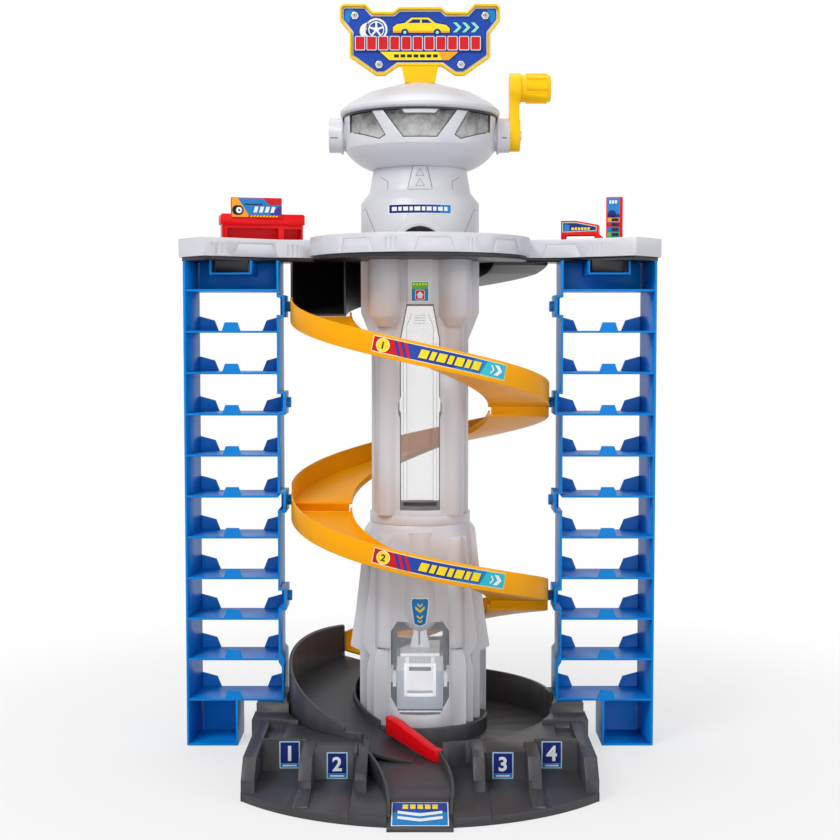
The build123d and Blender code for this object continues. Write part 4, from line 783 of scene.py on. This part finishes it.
DRUM_LINES = line([(-54.2, 504), (-50.6, 505), (-40.2, 480)]) + line([(54.2, 504), (50.6, 505), (40.2, 480)])
plates("drum_lines", onto("drum_neck"), GROOVE, DRUM_LINES, 0.12, step=2)
WINDOW_LINES = []
for side in (-1, 1):
    WINDOW_LINES += line([(side * 12.2, 236), (side * 12.2, 396), (side * 7.5, 408)], 0.45)
    WINDOW_LINES += line([(side * 15.4, 236), (side * 15.4, 382)], 0.35)
WINDOW_LINES += [box(-5, 399 + 2.4 * part, 5, 399.4 + 2.4 * part) for part in range(4)]
plates("window_lines", onto("shaft_window_front"), WINDOW_GREY, WINDOW_LINES, 0.12, step=3)
SHAFT_SLOT = [box(-15.3, 230.5, 15.3, 233.9)]
plates("shaft_slots", onto("shaft_window_front"), BLACK, SHAFT_SLOT, 0.6, step=3)


def solid_piece(name, vertices, faces, finish, body="garage", width=0.3 * MM):
    """A free-standing piece from points in millimetres."""
    mesh = bpy.data.meshes.new(name)
    mesh.from_pydata([Vector(vertex) * MM for vertex in vertices], [], faces)
    part = bmesh.new()
    part.from_mesh(mesh)
    bmesh.ops.remove_doubles(part, verts=part.verts, dist=0.001 * MM)
    bmesh.ops.recalc_face_normals(part, faces=part.faces)
    part.to_mesh(mesh)
    part.free()
    mesh.materials.append(finish)
    piece = bpy.data.objects.new(name, mesh)
    bpy.context.scene.collection.objects.link(piece)
    soften(piece, width)
    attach(piece, body)
    return piece


def nose():
    """Rounded cone over the lift's door, flat at the back."""
    centre_y, back_y, count = -35.0, -45.5, 24
    profile = [(206, 16.5), (190, 17.6), (170, 18.9), (150, 20), (134, 20.6), (129, 20.2), (124, 18.8)]
    profile += [(120, 16.6), (117, 14.2), (115, 11.8), (113.6, 10.55)]
    vertices, faces = [], []
    for z, radius in profile:
        spread = math.acos(min(1, (centre_y - back_y) / radius))
        for part in range(count + 1):
            angle = spread * (2 * part / count - 1)
            vertices.append((radius * math.sin(angle), centre_y - radius * math.cos(angle), z))
    row = count + 1
    for level in range(len(profile) - 1):
        for part in range(count):
            first = level * row + part
            faces.append((first, first + 1, first + row + 1, first + row))
        faces.append((level * row, level * row + row, level * row + 2 * row - 1, level * row + row - 1))
    faces.append(tuple(range(row)))
    faces.append(tuple(range((len(profile) - 1) * row, len(profile) * row)))
    return solid_piece("nose_cone", vertices, faces, GREY)


def ring(name, profile, finish, count=96):
    """A closed ring about the tower's axis from a (radius, z) outline."""
    size = len(profile)
    vertices = []
    for part in range(count):
        angle = 2 * math.pi * part / count
        for radius, z in profile:
            vertices.append((radius * math.cos(angle), radius * math.sin(angle), z))
    faces = []
    for part in range(count):
        here, after = part * size, (part + 1) % count * size
        for corner in range(size):
            step = (corner + 1) % size
            faces.append((here + corner, here + step, after + step, after + corner))
    return solid_piece(name, vertices, faces, finish, width=0.1 * MM)


# the shield is laid on the cone, so the cone joins the shapes that onto() can find
nodes["nose_cone"] = nose()
sticker("nose_shield", onto("nose_cone"), nose_art(), step=2)
# dark line under the roof's brim
ring("roof_dark_band", [(71.7, 590), (72.15, 590), (72.2, 592), (71.75, 592)], BLACK)


def block(name, low, high, finish, body="garage"):
    """A plain block between two corners."""
    vertices = [(x, y, z) for x in (low[0], high[0]) for y in (low[1], high[1]) for z in (low[2], high[2])]
    faces = [(0, 1, 3, 2), (4, 6, 7, 5), (0, 4, 5, 1), (2, 3, 7, 6), (0, 2, 6, 4), (1, 5, 7, 3)]
    return solid_piece(name, vertices, faces, finish, body)


def edge_strip(outline, near, far):
    """A thin strip that runs round a closed outline, outside it."""
    first, second = inset(outline, -near), inset(outline, -far)
    count = len(outline)
    return [[first[i - 1], first[i], second[i], second[i - 1]] for i in range(count)]


# convex bowl under the windows
BOWL = [(43.8, 542.5), (47.2, 543.3), (50.6, 544.6), (55.4, 547), (59.9, 550), (63.6, 553)]
BOWL += [(67, 556.6), (70.1, 560.5)]
BOWL += [(67.6, 560.5), (64, 557), (58, 552.4), (50, 548), (41.4, 545.4), (41.4, 542.5)]
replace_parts(ring("bowl", BOWL, GREY), "head_bowl")

# a short line, so that it ends at the spool when the lift is up
LIFT_TRAVEL, CRANK_TURNS = 427, 5
LINE_BACK = LIFT_TRAVEL / (2 * math.pi * CRANK_TURNS)  # the spool's radius, so the line hangs here
LINE_END = [(0.05, 110), (0.5, 110), (0.5, 147.5), (0.05, 147.5)]
short_line = ring("line_end", LINE_END, WHITE, 12)
for vertex in short_line.data.vertices:
    vertex.co.y -= LINE_BACK * MM
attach(short_line, "lift")
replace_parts(short_line, "hoist_line")

# outlines of the head's windows, lines on its neck and hubs
centre_window = [(-33, 590.6), (-18, 590.6), (-14, 585.8), (14, 585.8), (18, 590.6)]
centre_window += [(33, 590.6), (14.9, 566.2), (-14.9, 566.2)]
side_window = [(64.2, 591.3), (44.3, 590.5), (32, 568.4), (36.8, 565.6), (63.6, 574.5)]
windows = (centre_window, side_window, [(-x, z) for x, z in side_window])
edges = [shape for outline in windows for shape in edge_strip(outline, 0.05, 0.75)]
plates("window_edges", onto("window_frame"), BLACK, edges, 0.15, step=4)
triangles = line([(-3.6, 533.6), (3.6, 533.6), (0, 539.8), (-3.6, 533.6)], 0.4)
triangles += line([(-4, 524), (4, 524), (0, 530.8), (-4, 524)], 0.4)
NECK_LINES = line([(-11.4, 521.6), (-6.6, 542)]) + line([(11.4, 521.6), (6.6, 542)]) + triangles
for side in (-1, 1):
    NECK_LINES += line([(side * 29.6, 521.6), (side * 29.6, 529), (side * 36.4, 534)])
plates("neck_lines", onto("drum_neck"), GROOVE, NECK_LINES, 0.12, step=2)
for name, hub, near, far in (
    ("hub_line_left", "hub_cap_left", -83.4, -76.6),
    ("hub_line_right", "hub_bearing_right", 76.6, 80.6),
):
    plates(name, onto(hub), BLACK, [box(near, 571, far, 571.8)], 0.15)

# the lift's face behind the door; it covers the cabin's front, which is open in the solids. Its haze, pale
# and white plates glow a little: painted light, in place of the light that the tower keeps from them.
HAZE_PAINTED_GLOW = plastic("haze plastic with painted glow", srgb(176, 185, 195), roughness=0.4, painted_glow=0.22)
PALE_PAINTED_GLOW = plastic("pale card with painted glow", srgb(206, 207, 210), roughness=0.5, painted_glow=0.2)
FACE_BACK_Y = -35.42  # just in front of the cabin
# name, low and high (x, z), distance in front of the tower's axis, finish
DOOR_FACE = (
    ("lift_face", (-21.6, 38), (21.6, 74), 35.8, HAZE_PAINTED_GLOW),
    ("lift_face_high", (-21.6, 74), (21.6, 88), 35.8, PALE_PAINTED_GLOW),
    ("lift_plate", (-13, 55.5), (13, 74), 36.2, WHITE_PAINTED_GLOW),
    ("lift_rim", (-13.6, 74), (-10.4, 87.4), 36.2, WHITE_PAINTED_GLOW),
    ("lift_rim_right", (10.4, 74), (13.6, 87.4), 36.2, WHITE_PAINTED_GLOW),
    ("lift_handle", (-10.2, 74.4), (10.2, 77.6), 36.4, GROOVE),
    ("lift_sill", (-20, 34.9), (20, 36.4), 36.2, WHITE_PAINTED_GLOW),
    ("lift_sill_line", (-21, 36.4), (21, 37.8), 36.2, BLACK),
)
for name, low, high, depth, finish in DOOR_FACE:
    block(name, (low[0], -depth, low[1]), (high[0], FACE_BACK_Y, high[1]), finish, "lift")
for side, word in ((-1, "left"), (1, "right")):
    near, far = sorted((side * 22.2, side * 25.6))
    block(f"lift_shoe_{word}", (near, -33.4, 58.6), (far, -30, 72.2), WHITE_PAINTED_GLOW, "lift")
    near, far = sorted((side * 22.4, side * 24.8))
    block(f"lift_bar_{word}", (near, -33.4, 74), (far, -32, 87.4), BLACK, "lift")
HANGER_SLIT = [box(-1.5, 94.4, 0.1, 111)]
plates("hanger_slit", onto("lift_frame"), GROOVE, HANGER_SLIT, 0.2, body="lift")

# dark pieces that close the slits beside the exit lane
for side, word in ((-1, "left"), (1, "right")):
    near, far = sorted((side * 54.3, side * 57.3))
    block(f"lane_filler_{word}", (near, -154, 0.2), (far, -100, 30.6), DARK)


# ---------------------------------------------------------------- stage
def studio():
    """Pale floor that keeps the toy's shadow, soft studio light and a white surround."""
    reach = 6
    floor_mesh = bpy.data.meshes.new("floor")
    corners = [(-reach, -reach, 0), (reach, -reach, 0), (reach, reach, 0), (-reach, reach, 0)]
    floor_mesh.from_pydata(corners, [], [(0, 1, 2, 3)])
    floor = bpy.data.objects.new("floor", floor_mesh)
    bpy.context.scene.collection.objects.link(floor)
    floor_finish = bpy.data.materials.new("pale floor")
    floor_finish.use_nodes = True
    tree = floor_finish.node_tree
    shader = tree.nodes["Principled BSDF"]
    shader.inputs["Base Color"].default_value = (0.74, 0.74, 0.74, 1)
    shader.inputs["Roughness"].default_value = 0.8
    # seen by the camera, the floor turns into plain white away from the toy
    shine = tree.nodes.new("ShaderNodeEmission")
    shine.inputs["Color"].default_value = (1, 1, 1, 1)
    shine.inputs["Strength"].default_value = 1
    coords = tree.nodes.new("ShaderNodeTexCoord")
    length = tree.nodes.new("ShaderNodeVectorMath")
    length.operation = "LENGTH"
    spread = tree.nodes.new("ShaderNodeMapRange")
    spread.interpolation_type = "SMOOTHSTEP"
    spread.inputs["From Min"].default_value = 0.2
    spread.inputs["From Max"].default_value = 0.75
    spread.inputs["To Min"].default_value = 0.62
    spread.inputs["To Max"].default_value = 1
    path = tree.nodes.new("ShaderNodeLightPath")
    seen = seen_ray(tree, path)
    share = tree.nodes.new("ShaderNodeMath")
    share.operation = "MULTIPLY"
    mix = tree.nodes.new("ShaderNodeMixShader")
    tree.links.new(coords.outputs["Object"], length.inputs[0])
    tree.links.new(length.outputs["Value"], spread.inputs["Value"])
    tree.links.new(spread.outputs["Result"], share.inputs[0])
    tree.links.new(seen, share.inputs[1])
    tree.links.new(share.outputs[0], mix.inputs[0])
    tree.links.new(shader.outputs[0], mix.inputs[1])
    tree.links.new(shine.outputs[0], mix.inputs[2])
    tree.links.new(mix.outputs[0], tree.nodes["Material Output"].inputs["Surface"])
    floor.data.materials.append(floor_finish)

    world = bpy.data.worlds.new("surround")
    bpy.context.scene.world = world
    world.use_nodes = True
    tree = world.node_tree
    light_side = tree.nodes["Background"]
    light_side.inputs["Color"].default_value = (0.96, 0.97, 1, 1)
    light_side.inputs["Strength"].default_value = 0.38
    seen_side = tree.nodes.new("ShaderNodeBackground")
    seen_side.inputs["Color"].default_value = (1, 1, 1, 1)
    path = tree.nodes.new("ShaderNodeLightPath")
    mix = tree.nodes.new("ShaderNodeMixShader")
    tree.links.new(seen_ray(tree, path), mix.inputs[0])
    tree.links.new(light_side.outputs[0], mix.inputs[1])
    tree.links.new(seen_side.outputs[0], mix.inputs[2])
    tree.links.new(mix.outputs[0], tree.nodes["World Output"].inputs["Surface"])

    for name, place, size, power in (
        ("key light", (-1.1, -1.5, 2.0), 1.0, 31),
        ("fill light", (1.7, -1.2, 0.8), 1.4, 8),
        ("front light", (0.1, -2.3, 0.3), 1.5, 12),
        ("top light", (0.0, 0.3, 2.2), 1.2, 12),
    ):
        data = bpy.data.lights.new(name, "AREA")
        data.size = size
        data.energy = power
        lamp = bpy.data.objects.new(name, data)
        lamp.location = place
        aim = Vector((0, 0, 0.36)) - Vector(place)
        lamp.rotation_euler = aim.to_track_quat("-Z", "Y").to_euler()
        bpy.context.scene.collection.objects.link(lamp)


def seen_ray(tree, path):
    """One where the camera sees a surface, directly, mirrored or through clear plastic."""
    total = path.outputs["Is Camera Ray"]
    for name in ("Is Transmission Ray", "Is Glossy Ray"):
        larger = tree.nodes.new("ShaderNodeMath")
        larger.operation = "MAXIMUM"
        tree.links.new(total, larger.inputs[0])
        tree.links.new(path.outputs[name], larger.inputs[1])
        total = larger.outputs[0]
    return total


CAMERA_BACK, CAMERA_HEIGHT = 1.406, 0.391
CAMERA_DROP = 3.4  # degrees below level
CAMERA_LENS, CAMERA_SENSOR = 63.43, 36


def camera():
    """Level with the middle of the toy, looking very slightly down."""
    data = bpy.data.cameras.new("camera")
    data.sensor_width = CAMERA_SENSOR
    data.lens = CAMERA_LENS
    holder = bpy.data.objects.new("camera", data)
    holder.location = (0, -CAMERA_BACK, CAMERA_HEIGHT)
    holder.rotation_euler = (math.radians(90 - CAMERA_DROP), 0, 0)
    bpy.context.scene.collection.objects.link(holder)
    bpy.context.scene.camera = holder


studio()
camera()
bpy.context.scene.view_settings.view_transform = "Standard"
